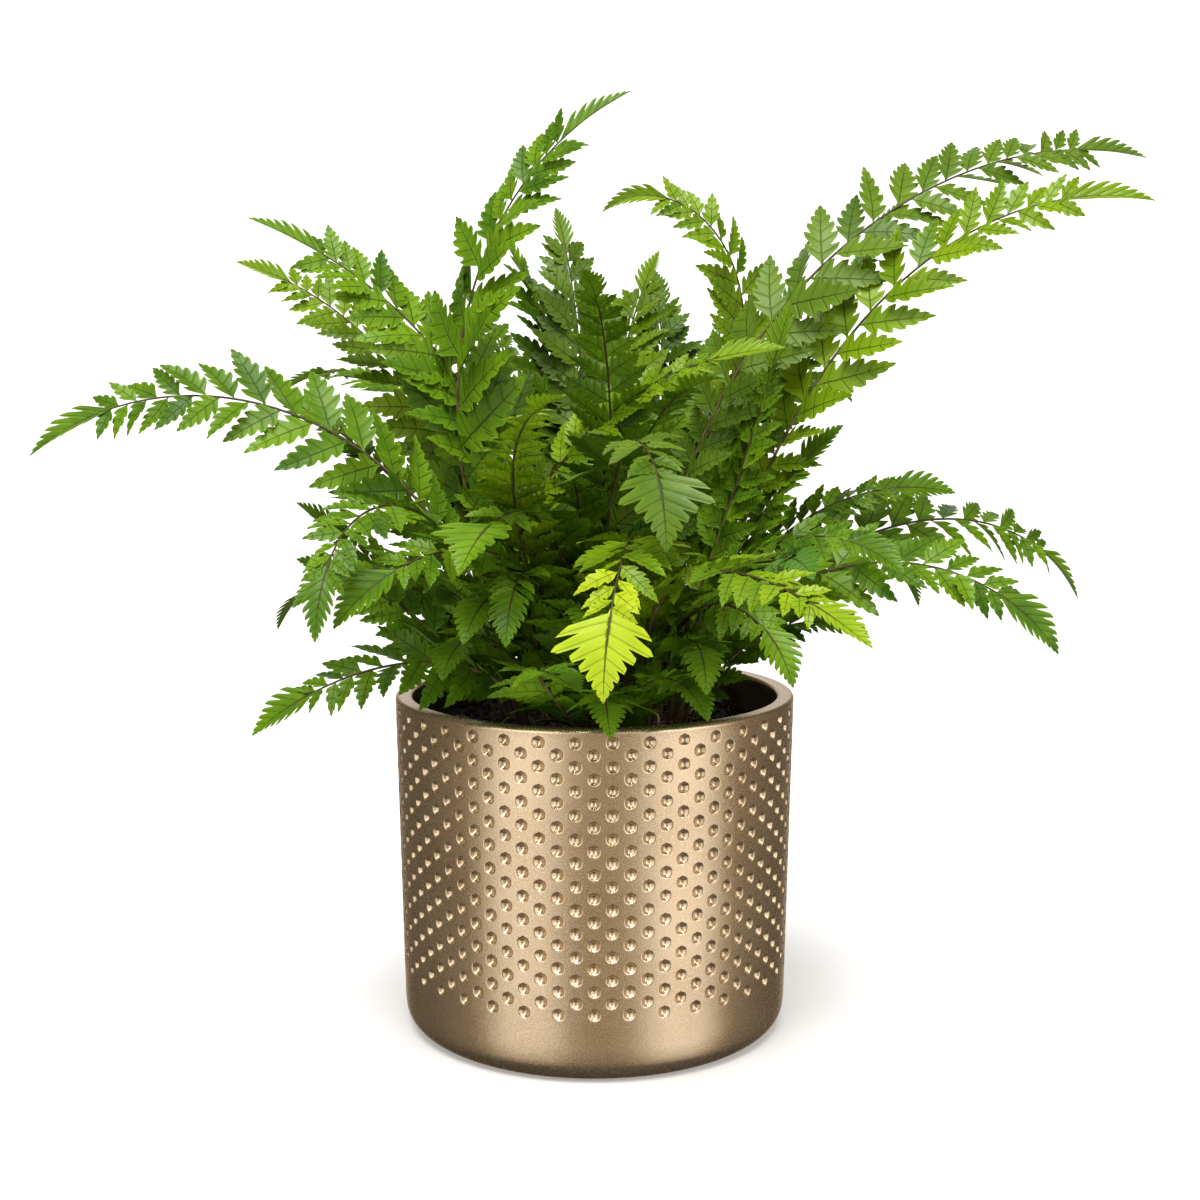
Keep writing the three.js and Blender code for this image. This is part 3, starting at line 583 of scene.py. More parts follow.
def leaf_material(tone):
    """A leaflet's blade in one tone.

    The UV map runs along the rib across, one unit for each lobe, and from margin to margin along, with the
    rib at a half. A dark line follows the rib, a fine groove runs out to each lobe, the blade quilts up
    between the grooves, and the margin is a little paler.
    """
    base, pale = TONES[tone]
    material, tree, shader = new_material(f"leaf_{tone}")
    uv = node(tree, "ShaderNodeSeparateXYZ", {0: node(tree, "ShaderNodeUVMap").outputs["UV"]})
    tint = node(tree, "ShaderNodeAttribute", attribute_name="leaf_tint").outputs["Fac"]
    aside = math_node(tree, "ABSOLUTE", math_node(tree, "SUBTRACT", uv.outputs["Y"], 0.5))
    rib = math_node(tree, "SUBTRACT", 1.0, smooth_step(tree, aside, *RIB_EDGE))
    within = math_node(tree, "FRACT", uv.outputs["X"])
    off_vein = math_node(tree, "ABSOLUTE", math_node(tree, "SUBTRACT", within, VEIN_PLACE))
    vein = math_node(tree, "SUBTRACT", 1.0, smooth_step(tree, off_vein, *VEIN_EDGE))
    patches, grain = mottle(tree, 85.0, 1900.0)

    share = math_node(tree, "ADD", math_node(tree, "MULTIPLY", patches, PATCH_SHARE),
                      math_node(tree, "MULTIPLY", tint, TINT_SHARE))
    blade = blend(tree, share, base, pale)
    edge = math_node(tree, "MULTIPLY", smooth_step(tree, aside, *MARGIN_EDGE), MARGIN_SHARE)
    blade = blend(tree, edge, blade, tuple(1.25 * value for value in pale))
    dark = tuple(0.6 * value for value in base)
    blade = blend(tree, math_node(tree, "MULTIPLY", vein, VEIN_SHARE), blade, dark)
    blade = blend(tree, math_node(tree, "MULTIPLY", rib, RIB_SHARE), blade, RIB_COLOUR)
    tree.links.new(blade, shader.inputs["Base Color"])

    grooves = math_node(tree, "MAXIMUM", vein, rib)
    height = math_node(tree, "SUBTRACT", math_node(tree, "MULTIPLY", grain, 0.25), grooves)
    tree.links.new(bump(tree, height, 0.7, 0.45 * MM), shader.inputs["Normal"])
    specular, smooth, rough = WET_GLOSS if tone == "wet" else GLOSS
    tree.links.new(grainy(tree, grain, smooth, rough), shader.inputs["Roughness"])
    shader.inputs["Specular IOR Level"].default_value = specular
    return material


# The pot

def outer_radius(height):
    """The wall leans out evenly from its foot to its rim."""
    return mix(FOOT_RADIUS, POT_RADIUS, height / POT_HEIGHT)


def pitted_wall():
    """The wall's pits, each in a cell of its own.

    A cell's points are its border, rings at the pit's profile in the directions of the border's points,
    and the pit's middle. Every second column of cells is half a pitch lower.
    """
    rng = np.random.default_rng(SEED)
    width = 2 * math.pi / PIT_COLUMNS
    column, row = (index.ravel() for index in np.meshgrid(
        np.arange(PIT_COLUMNS), np.arange(PIT_ROWS), indexing="ij"))
    stagger = (column % 2) * PIT_PITCH / 2
    angle = (column + 0.5) * width
    top = PITS_TOP - stagger - row * PIT_PITCH

    across = np.array([-1, 0, 1, 1, 1, 1, 1, 0, -1, -1, -1, -1]) * width / 2
    down = np.array([4, 4, 4, 3, 2, 1, 0, 0, 0, 1, 2, 3]) * PIT_PITCH / 4
    border_angle = angle[:, None] + across
    border_height = top[:, None] - down

    middle_angle = angle + rng.uniform(-1, 1, len(angle)) * PIT_JITTER / POT_RADIUS
    middle_height = top - PIT_PITCH / 2 + PIT_RAISE + rng.uniform(-1, 1, len(angle)) * PIT_JITTER
    run = (border_angle - middle_angle[:, None]) * POT_RADIUS
    climb = border_height - middle_height[:, None]
    reach = np.hypot(run, climb)
    radius = PIT_RADIUS * rng.uniform(*PIT_SIZES, len(angle))

    rings = [around(outer_radius(border_height), border_angle, border_height)]
    for share, depth in PIT_PROFILE:
        ring_angle = middle_angle[:, None] + share * radius[:, None] * run / reach / POT_RADIUS
        ring_height = middle_height[:, None] + share * radius[:, None] * climb / reach
        rings.append(around(outer_radius(ring_height) - depth, ring_angle, ring_height))
    middle = around(outer_radius(middle_height) - PIT_DEPTH, middle_angle, middle_height)[:, None, :]
    points = np.concatenate([*rings, middle], axis=1)

    sides = len(across)
    ring = np.arange(len(rings) - 1)[:, None] * sides
    step = np.arange(sides)[None, :]
    following = (step + 1) % sides
    quads = np.stack([ring + step, ring + following, ring + sides + following, ring + sides + step], -1)
    last = (len(rings) - 1) * sides
    fan = np.stack(np.broadcast_arrays(last + step[0], last + following[0], len(rings) * sides), -1)
    start = (np.arange(len(angle)) * points.shape[1])[:, None, None]
    return (points.reshape(-1, 3), (start + quads.reshape(1, -1, 4)).reshape(-1, 4),
            (start + fan[None]).reshape(-1, 3))


def stagger_fill():
    """Plain half cells: above the lower columns of pits and below the higher ones."""
    width = 2 * math.pi / PIT_COLUMNS
    column = np.arange(PIT_COLUMNS)
    top = np.where(column % 2 == 1, PITS_TOP, PITS_TOP - PIT_ROWS * PIT_PITCH)
    steps = 3
    down = np.arange(steps)[:, None] * PIT_PITCH / 4
    across = np.arange(steps)[None, :] * width / 2
    angle = column[:, None, None] * width + across
    height = top[:, None, None] - down
    points = around(outer_radius(height), angle, height)
    quads = grid_faces(steps, steps)[:, ::-1]
    start = (column * steps ** 2)[:, None, None]
    return points.reshape(-1, 3), (start + quads[None]).reshape(-1, 4)


def arc(centre_radius, centre_height, size, start, end, steps):
    """Profile points on an arc, with its angles in degrees from straight out."""
    turn = np.radians(np.linspace(start, end, steps))
    return [(centre_radius + size * math.cos(t), centre_height + size * math.sin(t)) for t in turn]


def revolve(profile, sides):
    """A profile of radii and heights carried round the pot's axis, as a closed grid of points and quads."""
    radius, height = np.array(profile).T
    angle = np.arange(sides) * 2 * math.pi / sides
    points = around(radius[:, None], angle[None, :], height[:, None])
    return points.reshape(-1, 3), grid_faces(len(profile), sides, closed=True)


def stack(parts):
    """Several sets of points and face groups as one set. Faces are shifted to follow their own points."""
    points, groups, start = [], [], 0
    for part_points, *part_groups in parts:
        points.append(part_points)
        groups += [group + start for group in part_groups]
        start += len(part_points)
    return np.concatenate(points), groups


def merge_points(points, groups, looks):
    """Points that lie in one place become one point, and quads that have lost an edge become triangles."""
    keys = np.round(points / MERGE_WITHIN).astype(np.int64)
    _, first, inverse = np.unique(keys, axis=0, return_index=True, return_inverse=True)
    inverse = inverse.ravel()
    merged, merged_looks = [], []
    for group, look in zip(groups, looks):
        group = inverse[group]
        start_lost = group[:, 0] == group[:, 1]
        end_lost = group[:, -1] == group[:, -2]
        kept = [group[~start_lost & ~end_lost]]
        if group.shape[1] == 4:
            kept += [group[start_lost][:, 1:], group[end_lost][:, :3]]
        for faces in kept:
            if len(faces):
                merged.append(faces)
                merged_looks.append(look)
    return points[first], merged, merged_looks


def make_pot():
    """The pot: its pitted wall, its smooth band and rounded foot, its underside, its lip and its inside."""
    sides = 2 * PIT_COLUMNS
    band_top = PITS_TOP - (PIT_ROWS + 0.5) * PIT_PITCH
    lip = POT_HEIGHT - LIP_ROUNDING
    lip_middle = POT_RADIUS - LIP_ROUNDING
    inner = POT_RADIUS - WALL
    foot = [(0.0, 0.0), (UNDERSIDE_RING, 0.0), (FOOT_RADIUS - FOOT_ROUNDING, 0.0)]
    foot += arc(FOOT_RADIUS - FOOT_ROUNDING, FOOT_ROUNDING, FOOT_ROUNDING, -80, 0, 9)
    foot += [(outer_radius(height), height) for height in np.linspace(FOOT_ROUNDING * 1.2, band_top, 4)]
    rim = [(outer_radius(PITS_TOP), PITS_TOP)]
    rim += arc(lip_middle, lip, LIP_ROUNDING, 5, 90, 7)
    rim += arc(inner + LIP_ROUNDING, lip, LIP_ROUNDING, 90, 170, 6)
    inside = [rim[-1]]
    wall_heights = np.linspace(lip - MM, WALL + INNER_CORNER, 9)
    inside += [(outer_radius(height) - WALL, height) for height in wall_heights]
    inside += [(FOOT_RADIUS - WALL - INNER_CORNER, WALL), (0.0, WALL)]

    points, groups = stack([
        pitted_wall(), stagger_fill(), revolve(foot, sides), revolve(rim, sides), revolve(inside, sides)])
    points, groups, looks = merge_points(points, groups, [0, 0, 0, 0, 0, 1])
    piece = make_piece("pot_glazed", points, groups, [glaze_material(), inner_glaze_material()], looks)
    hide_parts("pot")
    return piece


# The soil

def ripple(x, y):
    """Uneven ground between about -1 and 1: three crossed waves of different lengths."""
    return (np.sin(x * 310 + 1.3 * np.sin(y * 205)) + np.sin(y * 350 + 2.1) * np.cos(x * 170)
            + 0.6 * np.sin((x + y) * 620)) / 2.6


def soil_height(x, y):
    """The height of the soil: flat as a whole, with ripples, and a little lower at the pot's wall."""
    edge = np.clip((np.hypot(x, y) / (POT_RADIUS - WALL) - (1 - SOIL_EDGE)) / SOIL_EDGE, 0, 1)
    return SOIL_TOP + SOIL_BUMP * ripple(x, y) * (1 - EDGE_SMOOTHING * edge) - EDGE_SINK * edge


def soil_block():
    """The soil's top on a polar grid, and its side and floor inside the pot."""
    inner = outer_radius(SOIL_TOP) - WALL - SOIL_GAP
    rings, sides = 34, 120
    radius = np.linspace(0, inner, rings)[:, None]
    angle = (np.arange(sides) * 2 * math.pi / sides)[None, :]
    x, y = radius * np.cos(angle), radius * np.sin(angle)
    top = np.stack([x, y, soil_height(x, y)], -1)
    floor_height = WALL + SOIL_GAP
    floor_radius = outer_radius(floor_height) - WALL - INNER_CORNER
    side = around(np.array([[inner], [floor_radius], [0]]), angle,
                  np.array([[SOIL_TOP - SOIL_SHOULDER], [floor_height], [floor_height]]))
    points = np.concatenate([top, side]).reshape(-1, 3)
    return points, grid_faces(rings + 3, sides, closed=True)[:, ::-1]


def crumbs():
    """Loose crumbs on the soil: twelve-cornered lumps, each squashed, turned and roughened."""
    rng = np.random.default_rng(SEED + 1)
    golden = (1 + math.sqrt(5)) / 2
    corners = unit(np.array([
        (-1, golden, 0), (1, golden, 0), (-1, -golden, 0), (1, -golden, 0),
        (0, -1, golden), (0, 1, golden), (0, -1, -golden), (0, 1, -golden),
        (golden, 0, -1), (golden, 0, 1), (-golden, 0, -1), (-golden, 0, 1)], float))
    faces = np.array([
        (0, 11, 5), (0, 5, 1), (0, 1, 7), (0, 7, 10), (0, 10, 11), (1, 5, 9), (5, 11, 4), (11, 10, 2),
        (10, 7, 6), (7, 1, 8), (3, 9, 4), (3, 4, 2), (3, 2, 6), (3, 6, 8), (3, 8, 9), (4, 9, 5),
        (2, 4, 11), (6, 2, 10), (8, 6, 7), (9, 8, 1)])
    radius = (POT_RADIUS - WALL - WALL_CLEARANCE) * np.sqrt(rng.random(CRUMBS))
    angle = rng.random(CRUMBS) * 2 * math.pi
    size = CRUMB_SIZES[0] + CRUMB_SIZES[1] * rng.random(CRUMBS) ** 3
    stretch = rng.uniform(*CRUMB_STRETCHES, (CRUMBS, 1, 3))
    stretch = stretch * rng.uniform(*CRUMB_DENTS, (CRUMBS, len(corners), 1))
    x, y = radius * np.cos(angle), radius * np.sin(angle)
    middle = np.stack([x, y, soil_height(x, y) + CRUMB_RISE * size], -1)
    points = middle[:, None, :] + size[:, None, None] * corners[None] * stretch
    start = (np.arange(CRUMBS) * len(corners))[:, None, None]
    return points.reshape(-1, 3), (start + faces[None]).reshape(-1, 3)


def tube(path, radius, sides):
    """A tube round a path of points, with a ring of corners at each, and its ends drawn in and closed.

    Each ring stands across the path, on two directions square to it: the first is also square to a leaning
    direction that no path follows.
    """
    along = unit(np.gradient(path, axis=0))
    level = unit(np.cross(along, TUBE_LEAN))
    other = np.cross(along, level)
    turn = np.arange(sides) * 2 * math.pi / sides
    ring = np.cos(turn)[None, :, None] * level[:, None] + np.sin(turn)[None, :, None] * other[:, None]
    size = np.broadcast_to(radius, len(path)).copy()
    size[[0, -1]] *= TUBE_END
    points = path[:, None] + size[:, None, None] * ring
    return points.reshape(-1, 3), *shell_faces(len(path), sides)


def roots():
    """Fine roots and fibres that lie on the soil in loose curves, some of them against the pot's wall."""
    rng = np.random.default_rng(SEED + 2)
    made = []
    for number in range(ROOTS):
        start = rng.uniform(0, 2 * math.pi)
        distance = rng.uniform(*ROOT_STARTS)
        heading = rng.uniform(0, 2 * math.pi)
        length = rng.uniform(*ROOT_LENGTHS)
        share = np.linspace(0, 1, ROOT_STEPS)
        turn = heading + rng.uniform(-ROOT_TURN, ROOT_TURN) * share
        x = distance * math.cos(start) + np.cumsum(np.cos(turn)) * length / ROOT_STEPS
        y = distance * math.sin(start) + np.cumsum(np.sin(turn)) * length / ROOT_STEPS
        inward = np.minimum(1, (POT_RADIUS - WALL - WALL_CLEARANCE) / np.hypot(x, y))
        x, y = x * inward, y * inward
        lift = rng.uniform(*ROOT_LIFTS) * np.sin(math.pi * share)
        radius = rng.uniform(*ROOT_RADII)
        made.append(tube(np.stack([x, y, soil_height(x, y) + lift], -1), radius, ROOT_SIDES))
    return made


def make_soil():
    """The soil with its crumbs, and its roots in their own finish."""
    points, groups = stack([soil_block(), crumbs(), *roots()])
    looks = [0, 0] + [1] * (len(groups) - 2)
    points, groups, looks = merge_points(points, groups, looks)
    piece = make_piece("soil_with_roots", points, groups, [soil_material(), root_material()], looks)
    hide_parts("soil")
    return piece


# The fronds

def midrib_line(frond):
    """A frond's line and the directions along, beside and above it, at equal steps from the soil.

    The heading turns evenly from the foot's to the tip's, and the slope changes with the share of the
    length raised to the bend. The roll turns the blade about its own line.
    """
    share = np.minimum(1, (np.arange(CURVE_STEPS + 1) + 0.5) / CURVE_STEPS)
    head = np.radians(mix(frond["head_foot"], frond["head_tip"], share))
    rise = np.radians(mix(frond["rise_foot"], frond["rise_tip"], share ** frond["bend"]))
    along = np.stack([np.cos(rise) * np.cos(head), np.cos(rise) * np.sin(head), np.sin(rise)], -1)
    level = np.stack([np.sin(head), -np.cos(head), 0 * head], -1)
    roll = math.radians(frond["roll"])
    side = level * math.cos(roll) + np.cross(along, level) * math.sin(roll)
    seat = math.radians(frond["seat_angle"])
    foot = np.array([frond["seat"] * math.cos(seat), frond["seat"] * math.sin(seat), SOIL_TOP])
    steps = along * frond["length"] / CURVE_STEPS
    at = foot + np.concatenate([np.zeros((1, 3)), np.cumsum(steps[:-1], axis=0)])
    return {"at": at, "along": along, "side": side, "up": np.cross(side, along)}


def place_on(frond, distance):
    """The place and directions at distances along a frond; below the soil it runs straight on."""
    steps = np.clip(np.asarray(distance) / frond["length"] * CURVE_STEPS, 0, CURVE_STEPS)
    low = np.minimum(steps.astype(int), CURVE_STEPS - 1)
    share = (steps - low)[..., None]
    spot = {key: mix(line[low], line[low + 1], share) for key, line in frond["line"].items()}
    for key in ("along", "side", "up"):
        spot[key] = unit(spot[key])
    below = np.minimum(np.asarray(distance), 0)[..., None]
    spot["at"] = spot["at"] + spot["along"] * below
    return spot


def lobed_blade(lobes, width, widest, depth, ear, lean, foot, taper, rows):
    """A closed blade of length one: how far along and aside its points lie, how thick it is, and its UV.

    Four columns go round the blade: one margin, the rib above, the other margin, and the rib below. Every
    row gives its place in its lobe, which starts at a notch, and the share of the lobe's reach that it has.
    The margin follows an outline: half its width at its widest place, less by a power of the way down
    to the foot, and by the power taper of the way up to the tip. A notch cuts the depth's share of that
    away, and less of it near the tip. The rows lie a little closer together towards the tip. They lean
    forward, from the first angle at the foot to the second at the tip, and the ear makes the first lobe
    longer, mostly on one side.
    """
    place, swell = np.array(rows).T
    count = (np.arange(lobes)[:, None] + place[None, :]).ravel()
    share = count / lobes
    notch = 1 - depth * (1 - NOTCH_FADE * share)
    reach = notch + (1 - notch) * np.tile(swell, lobes)
    below = np.clip((widest - share) / widest, 0, 1)
    above = np.clip((share - widest) / (1 - widest), 0, 1)
    half = width * (1 - (1 - foot) * below ** FOOT_POWER) * (1 - above ** taper) * reach
    half[0] = FOOT_HALF
    first = ear * np.tile(swell, lobes) * (count < 1)

    column = np.array([-1.0, 0.0, 1.0, 0.0])
    wide = np.abs(column) * (half[:, None] + np.where(column > 0, 1, OTHER_EAR) * first[:, None])
    leaning = np.radians(mix(*lean, share))[:, None]
    rib = (RIB_START + (1 - RIB_START) * (1 - (1 - share) ** RIB_POWER))[:, None]
    along = rib + wide * np.sin(leaning)
    aside = np.sign(column) * wide * np.cos(leaning)
    stalk = STALK_HALF * column[None, :]
    along = np.concatenate([np.zeros((1, 4)), along, np.ones((1, 4))])
    aside = np.concatenate([stalk, aside, 0.5 * stalk])
    lobe = np.concatenate([[0], count, [lobes]])[:, None]
    uv = np.stack(np.broadcast_arrays(lobe, 0.5 + 0.5 * column), -1)
    underside = (np.arange(4) == 3) * np.minimum(1, 4 * (1 - along) + TIP_THICKNESS)
    return {"along": along, "aside": aside, "underside": underside, "uv": uv}


THREE_ROWS = [(0.0, 0.0), (0.34, 0.84), (0.78, 1.0)]
FOUR_ROWS = [(0.0, 0.0), (0.30, 0.80), (0.56, 0.93), (0.83, 1.0)]
BLADES = {
    "large": lobed_blade(lobes=6, width=0.27, widest=0.28, depth=0.46, ear=0.05, lean=(24, 48), foot=0.62,
                         taper=1.15, rows=THREE_ROWS),
    "small": lobed_blade(lobes=4, width=0.275, widest=0.28, depth=0.40, ear=0.04, lean=(24, 46), foot=0.66,
                         taper=1.15, rows=THREE_ROWS),
    "tip": lobed_blade(lobes=8, width=0.38, widest=0.28, depth=0.52, ear=0.0, lean=(40, 50), foot=1.0,
                       taper=0.95, rows=FOUR_ROWS),
    "broad": lobed_blade(lobes=8, width=0.62, widest=0.20, depth=0.50, ear=0.0, lean=(22, 46), foot=0.66,
                         taper=0.55, rows=FOUR_ROWS),
}


def leaflet_plan(frond, rng):
    """Where the leaflets grow, how long each is and on which side, and where the tip blade starts.

    They grow one after the other on alternate sides, closer together as they get shorter. Their length
    rises to the full one over the lowest part, and tapers with a power of the share of the leafy part.
    """
    first = frond["length"] * frond["bare"]
    end = frond["length"] - frond["leaf"] * BLADE_TIP
    bare = frond["name"] in BARE_STEMMED
    growth = np.interp(frond["leaf"], GROWTH_LENGTHS, LEAFLET_GROWTHS)
    spacing = LEAFLET_SPACING
    if frond["name"].startswith(FINE_LEAVED):
        growth *= FINE_GROWTH
        spacing *= FINE_SPACING
    if frond["name"].startswith(FULL_LEAVED):
        growth *= FULL_GROWTH
    fullness = [SMALLEST_LEAFLET, SMALLEST_LEAFLET if bare else LOWEST_LEAFLET, 1]
    plan = []
    distance = first * (BARE_FROM if bare else LEAFLETS_FROM)
    while distance < end + frond["leaf"] * TIP_OVERLAP:
        share = (distance - first) / (end - first)
        taper = 1 - LEAFLET_TAPER * np.clip(share, 0, 1) ** TAPER_POWER
        length = frond["leaf"] * np.interp(share, [LOWEST_SHARE, 0, FULL_FROM], fullness) * taper
        hand = 1 if len(plan) % 2 == 0 else -1
        plan.append((distance, length * growth * rng.uniform(*LENGTH_SPREAD), hand))
        distance += length * spacing / 2
    return np.array(plan).T, end


def leaflets(frond, distance, length, hand, blade, rng):
    """Blades along a frond, each on its own rib that sweeps forward, lifts a little and droops at its tip.

    A leaflet's point lies a share of its length along the rib and aside of it, raised by a shallow fold
    along the rib and by the waves of the margin, and lowered by the droop, which grows as the square. Its
    underside lies a blade's thickness below the rib.
    """
    spot = place_on(frond, distance)
    count = len(distance)
    lift = np.radians(LEAFLET_LIFT + rng.uniform(-LIFT_SPREAD, LIFT_SPREAD, count))[:, None]
    sweep = mix(*LEAFLET_SWEEPS, distance / frond["length"])
    sweep = np.radians(sweep + rng.uniform(-SWEEP_SPREAD, SWEEP_SPREAD, count))[:, None]
    twist = np.radians(rng.uniform(-TWIST_SPREAD, TWIST_SPREAD, count))[:, None]
    aside_sign = hand[:, None]
    outward = spot["side"] * aside_sign * np.cos(lift) + spot["up"] * np.sin(lift)
    face = spot["up"] * np.cos(lift) - spot["side"] * aside_sign * np.sin(lift)
    rib = outward * np.cos(sweep) + spot["along"] * np.sin(sweep)
    across = spot["along"] * np.cos(sweep) - outward * np.sin(sweep)
    across, face = (across * np.cos(twist) + face * np.sin(twist) * aside_sign,
                    face * np.cos(twist) - across * np.sin(twist) * aside_sign)

    droop = LEAFLET_DROOP * rng.uniform(*DROOP_RANGE, count)[:, None, None]
    fold = rng.uniform(*FOLDS, count)[:, None, None]
    sway = rng.uniform(-SWAY, SWAY, count)[:, None, None]
    along = blade["along"][None]
    aside = blade["aside"][None] * rng.uniform(*BREADTHS, count)[:, None, None]
    wave = MARGIN_WAVE * np.sin(WAVE_TURN * along + WAVE_START * sway) * np.sign(aside)
    raised = fold * np.abs(aside) - droop * along ** 2 + wave
    raised = raised * length[:, None, None] - BLADE_THICKNESS * blade["underside"][None]
    aside = aside + sway * along ** 2
    size = length[:, None, None, None]
    points = (spot["at"][:, None, None, :]
              + size * along[..., None] * rib[:, None, None, :]
              + size * aside[..., None] * across[:, None, None, :]
              + raised[..., None] * face[:, None, None, :])
    rows, columns = blade["along"].shape
    shell = np.concatenate(shell_faces(rows, columns))
    start = (np.arange(count) * rows * columns)[:, None, None]
    faces = start + np.where(hand[:, None, None] > 0, shell[None, :, ::-1], shell[None])
    uv = np.broadcast_to(blade["uv"][None], (count, rows, columns, 2)).reshape(-1, 2)
    tint = np.repeat(rng.uniform(0, 1, count), rows * columns)
    return points.reshape(-1, 3), faces.reshape(-1, 4), uv, tint


def tip_blade(frond, end, rng):
    """The toothed blade that ends a frond. Its rib is the frond's own line, and both sides are alike."""
    broad = frond["name"] in BROAD_TIPPED
    blade = BLADES["broad" if broad else "tip"]
    length = frond["length"] - end
    spot = place_on(frond, end + blade["along"] * length)
    width = 1 if broad else np.interp(frond["length"], TIP_LENGTHS, TIP_WIDTHS)
    aside = (blade["aside"] * width * length)[..., None]
    raised = (TIP_FOLD * np.abs(blade["aside"]) * length - BLADE_THICKNESS * blade["underside"])[..., None]
    points = spot["at"] + spot["side"] * aside + spot["up"] * raised
    rows, columns = blade["along"].shape
    tint = np.full(rows * columns, rng.uniform(*TIP_TINTS))
    faces = np.concatenate(shell_faces(rows, columns))[:, ::-1]
    return points.reshape(-1, 3), faces, blade["uv"].reshape(-1, 2), tint


def stem(frond, end):
    """The frond's round stem, from its foot in the soil into its tip blade, thinner as it goes."""
    distance = np.linspace(-ROOTED, mix(end, frond["length"], STEM_REACH), STEM_RINGS)
    share = np.clip(distance / frond["length"], 0, 1)
    thick = min(STIPE_RADIUS, frond["length"] / STEM_SLENDERNESS)
    path = place_on(frond, distance)["at"]
    points, faces, ends = tube(path, mix(thick, TIP_RADIUS, share ** STEM_POWER), STEM_SIDES)
    turn = np.broadcast_to(np.arange(STEM_SIDES) / STEM_SIDES, (STEM_RINGS, STEM_SIDES))
    uv = np.stack([turn, np.broadcast_to(share[:, None], turn.shape)], -1)
    return points, faces, ends, uv.reshape(-1, 2), np.zeros(len(points))


def make_frond(row, number, stem_look, leaf_looks):
    """One frond: its stem, its large and small leaflets, and its tip blade, as one piece.

    The stem has its own finish, and the tip blade and the small leaflets may have another tone than the
    large ones.
    """
    rng = np.random.default_rng(FROND_SEED + number)
    frond = dict(zip(FROND_COLUMNS, row))
    for key in ("seat", "length", "leaf"):
        frond[key] = frond[key] * MM
    frond["line"] = midrib_line(frond)
    (distance, length, hand), end = leaflet_plan(frond, rng)
    large = length > LARGE_LEAFLET
    parts = [stem(frond, end)]
    for chosen, blade in ((large, "large"), (~large, "small")):
        if chosen.any():
            parts.append(leaflets(frond, distance[chosen], length[chosen], hand[chosen], BLADES[blade], rng))
    parts.append(tip_blade(frond, end, rng))
    points, groups = stack([part[:-2] for part in parts])
    end_tone = END_TONES.get(frond["name"], frond["tone"])
    piece = make_piece(
        f"fern_{frond['name']}", points, groups, [stem_look, leaf_looks[frond["tone"]], leaf_looks[end_tone]],
        looks=[0, 0, 1] + [2] * (len(parts) - 2),
        uv=np.concatenate([part[-2] for part in parts]),
        tint=np.concatenate([part[-1] for part in parts]))
    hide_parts(f"frond_{frond['name']}")
    return piece


# The stage

def make_floor():
    """A pale sweep: a floor that curves up far behind the pot into a backdrop.

    It glows with a painted light, weak near the pot and stronger from a step away outwards, so that it stays
    as pale as the floor beside the pot and the pot's cast shadow fades out away from it. The glaze mirrors
    the studio's own light, so the sweep is left out of gloss and of shadows cast.
    """
    flat, turn = np.linspace(*FLOOR_ENDS, 12), np.linspace(0.1, math.pi / 2, 14)
    depth = np.concatenate([flat, FLOOR_ENDS[1] + FLOOR_CURVE * np.sin(turn), [FLOOR_ENDS[1] + FLOOR_CURVE]])
    height = np.concatenate([0 * flat, FLOOR_CURVE * (1 - np.cos(turn)), [BACKDROP]])
    width = np.linspace(-FLOOR_HALF, FLOOR_HALF, 3)
    points = np.stack(np.broadcast_arrays(width[None, :], depth[:, None], height[:, None]), -1)
    material, tree, shader = new_material("pale_floor")
    at = node(tree, "ShaderNodeTexCoord").outputs["Object"]
    away = node(tree, "ShaderNodeVectorMath", {0: at}, operation="LENGTH").outputs["Value"]
    low, high = ((glow, glow, glow) for glow in FLOOR_GLOWS)
    # Painted light: the floor glows less near the pot, so the pot's cast shadow shows there and fades further
    # out.
    glow = blend(tree, smooth_step(tree, away, *GLOW_RISE), low, high)
    tree.links.new(glow, shader.inputs["Emission Color"])
    shader.inputs["Emission Strength"].default_value = 1.0
    shader.inputs["Base Color"].default_value = (FLOOR_SHADE, FLOOR_SHADE, FLOOR_SHADE, 1.0)
    shader.inputs["Roughness"].default_value = 0.8
    floor = make_piece("floor", points.reshape(-1, 3), [grid_faces(len(depth), 3)], [material])
    floor.visible_glossy = False
    floor.visible_shadow = False


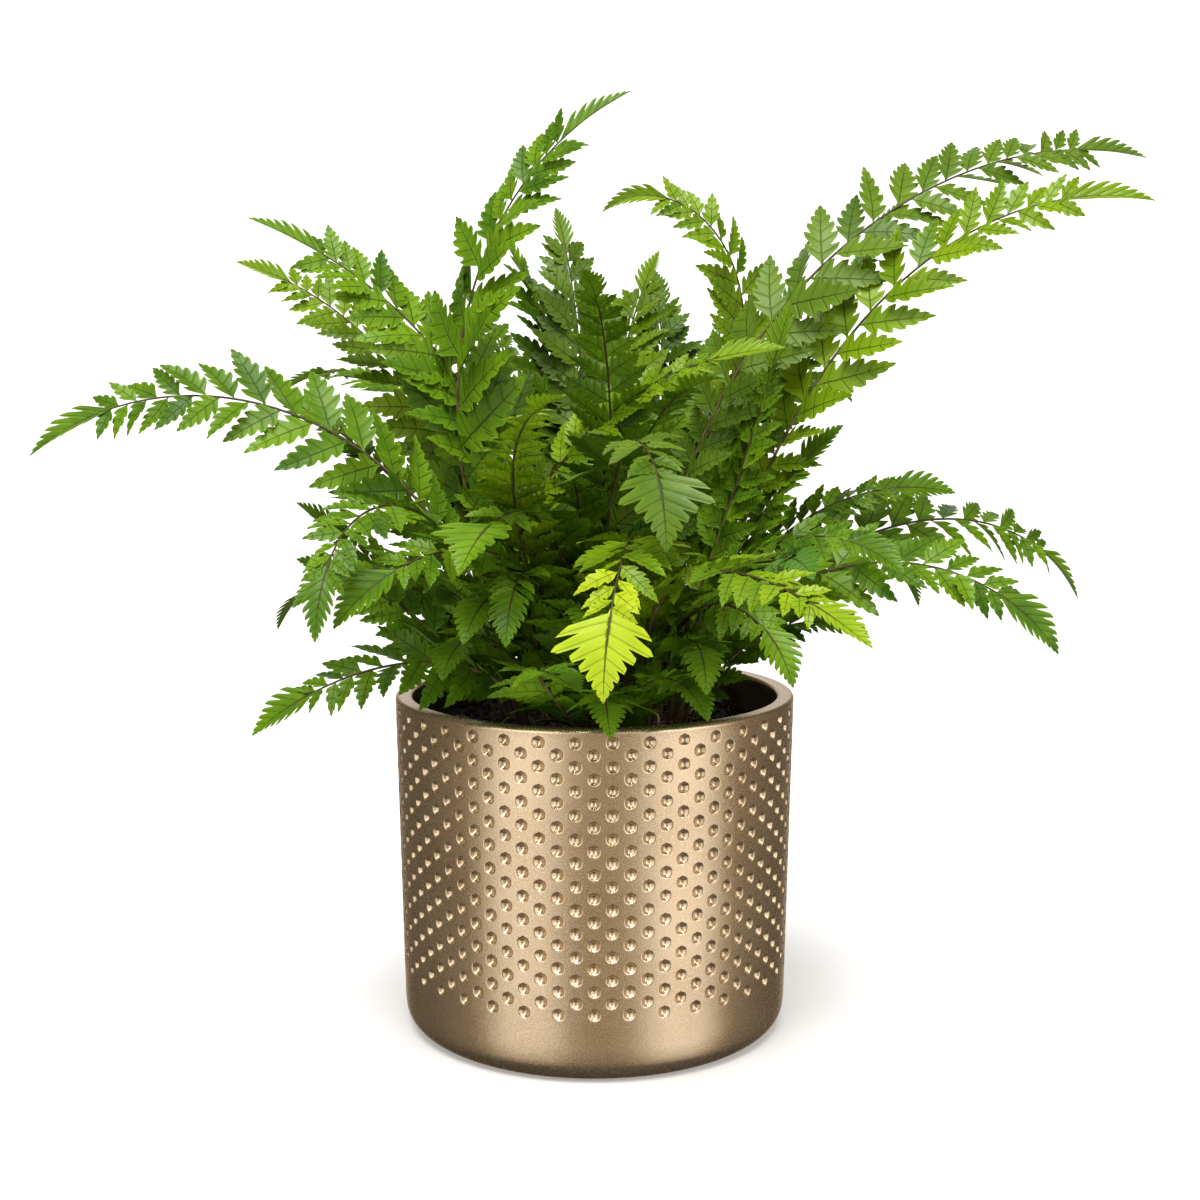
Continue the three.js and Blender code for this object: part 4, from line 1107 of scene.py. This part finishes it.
def make_studio():
    """The light all round: a soft ceiling, a dim warm sky, and tall white bands to the left, right and back.

    The brightness of a direction is the sky's light, plus the ceiling's share by the height, plus each
    band's share by the distance in azimuth from the band's middle. The bands fade in above the ground, are
    brighter higher up, and end below the ceiling. The camera sees plain white behind everything.
    """
    world = bpy.data.worlds.new("studio")
    world.use_nodes = True
    tree = world.node_tree
    direction = node(
        tree, "ShaderNodeSeparateXYZ", {0: node(tree, "ShaderNodeTexCoord").outputs["Generated"]})
    toward = math_node(tree, "MULTIPLY", direction.outputs["Y"], -1.0)
    azimuth = math_node(tree, "ARCTAN2", direction.outputs["X"], toward)
    height = direction.outputs["Z"]
    bands = 0.0
    for middle, half_width, light in SOFT_BANDS:
        off = math_node(tree, "ABSOLUTE", math_node(tree, "SUBTRACT", azimuth, math.radians(middle)))
        half = math.radians(half_width)
        edge = smooth_step(tree, off, BAND_CORE * half, half)
        inside = math_node(tree, "SUBTRACT", 1.0, edge)
        bands = math_node(tree, "ADD", bands, math_node(tree, "MULTIPLY", inside, light))
    above = smooth_step(tree, height, *GROUND_FADE)
    gain = math_node(tree, "MULTIPLY", smooth_step(tree, height, *BAND_RISE), BAND_GAIN)
    below_end = math_node(tree, "SUBTRACT", 1.0, smooth_step(tree, height, *BAND_END))
    tall = math_node(tree, "MULTIPLY", math_node(tree, "ADD", above, gain), below_end)
    ceiling = math_node(tree, "MULTIPLY", smooth_step(tree, height, *CEILING_RISE), CEILING_LIGHT)
    bright = math_node(tree, "ADD", ceiling, math_node(tree, "MULTIPLY", bands, tall))
    sky = math_node(tree, "MULTIPLY", math_node(tree, "ADD", above, SKY_LOW), SKY_LIGHT)

    background = tree.nodes["Background"]
    seen = node(tree, "ShaderNodeLightPath").outputs["Is Camera Ray"]
    tint = blend(tree, smooth_step(tree, bright, *WARM_TO_WHITE), SKY_COLOUR, WHITE)
    tree.links.new(blend(tree, seen, tint, WHITE), background.inputs["Color"])
    strength = math_node(tree, "MAXIMUM", math_node(tree, "ADD", bright, sky), seen)
    tree.links.new(strength, background.inputs["Strength"])
    bpy.context.scene.world = world


def area_light(name, place, aim, size, power):
    """A soft rectangular light at a place that points at its aim."""
    light = bpy.data.lights.new(name, "AREA")
    light.shape = "RECTANGLE"
    light.size, light.size_y = size
    light.energy = power
    holder = bpy.data.objects.new(name, light)
    holder.location = place
    holder.rotation_euler = (Vector(aim) - Vector(place)).to_track_quat("-Z", "Y").to_euler()
    bpy.context.scene.collection.objects.link(holder)


def make_camera():
    """The photograph's view: a little above the rim, slightly down, from 0.6 m."""
    camera = bpy.data.cameras.new("camera")
    camera.sensor_width = 36
    camera.lens = CAMERA_LENS
    holder = bpy.data.objects.new("camera", camera)
    holder.location = CAMERA_PLACE
    holder.rotation_euler = (math.radians(90 - CAMERA_DIP), 0, 0)
    bpy.context.scene.collection.objects.link(holder)
    bpy.context.scene.camera = holder


make_camera()
make_floor()
make_studio()
area_light("key", KEY_PLACE, KEY_AIM, KEY_SIZE, KEY_POWER)
bpy.context.scene.view_settings.view_transform = "Standard"

pieces = [make_pot(), make_soil()]
stem_finish = stem_material()
leaf_finishes = {tone: leaf_material(tone) for tone in TONES}
for frond_number, frond_row in enumerate(FRONDS):
    pieces.append(make_frond(frond_row, frond_number, stem_finish, leaf_finishes))
for piece in pieces:
    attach(piece, "root")
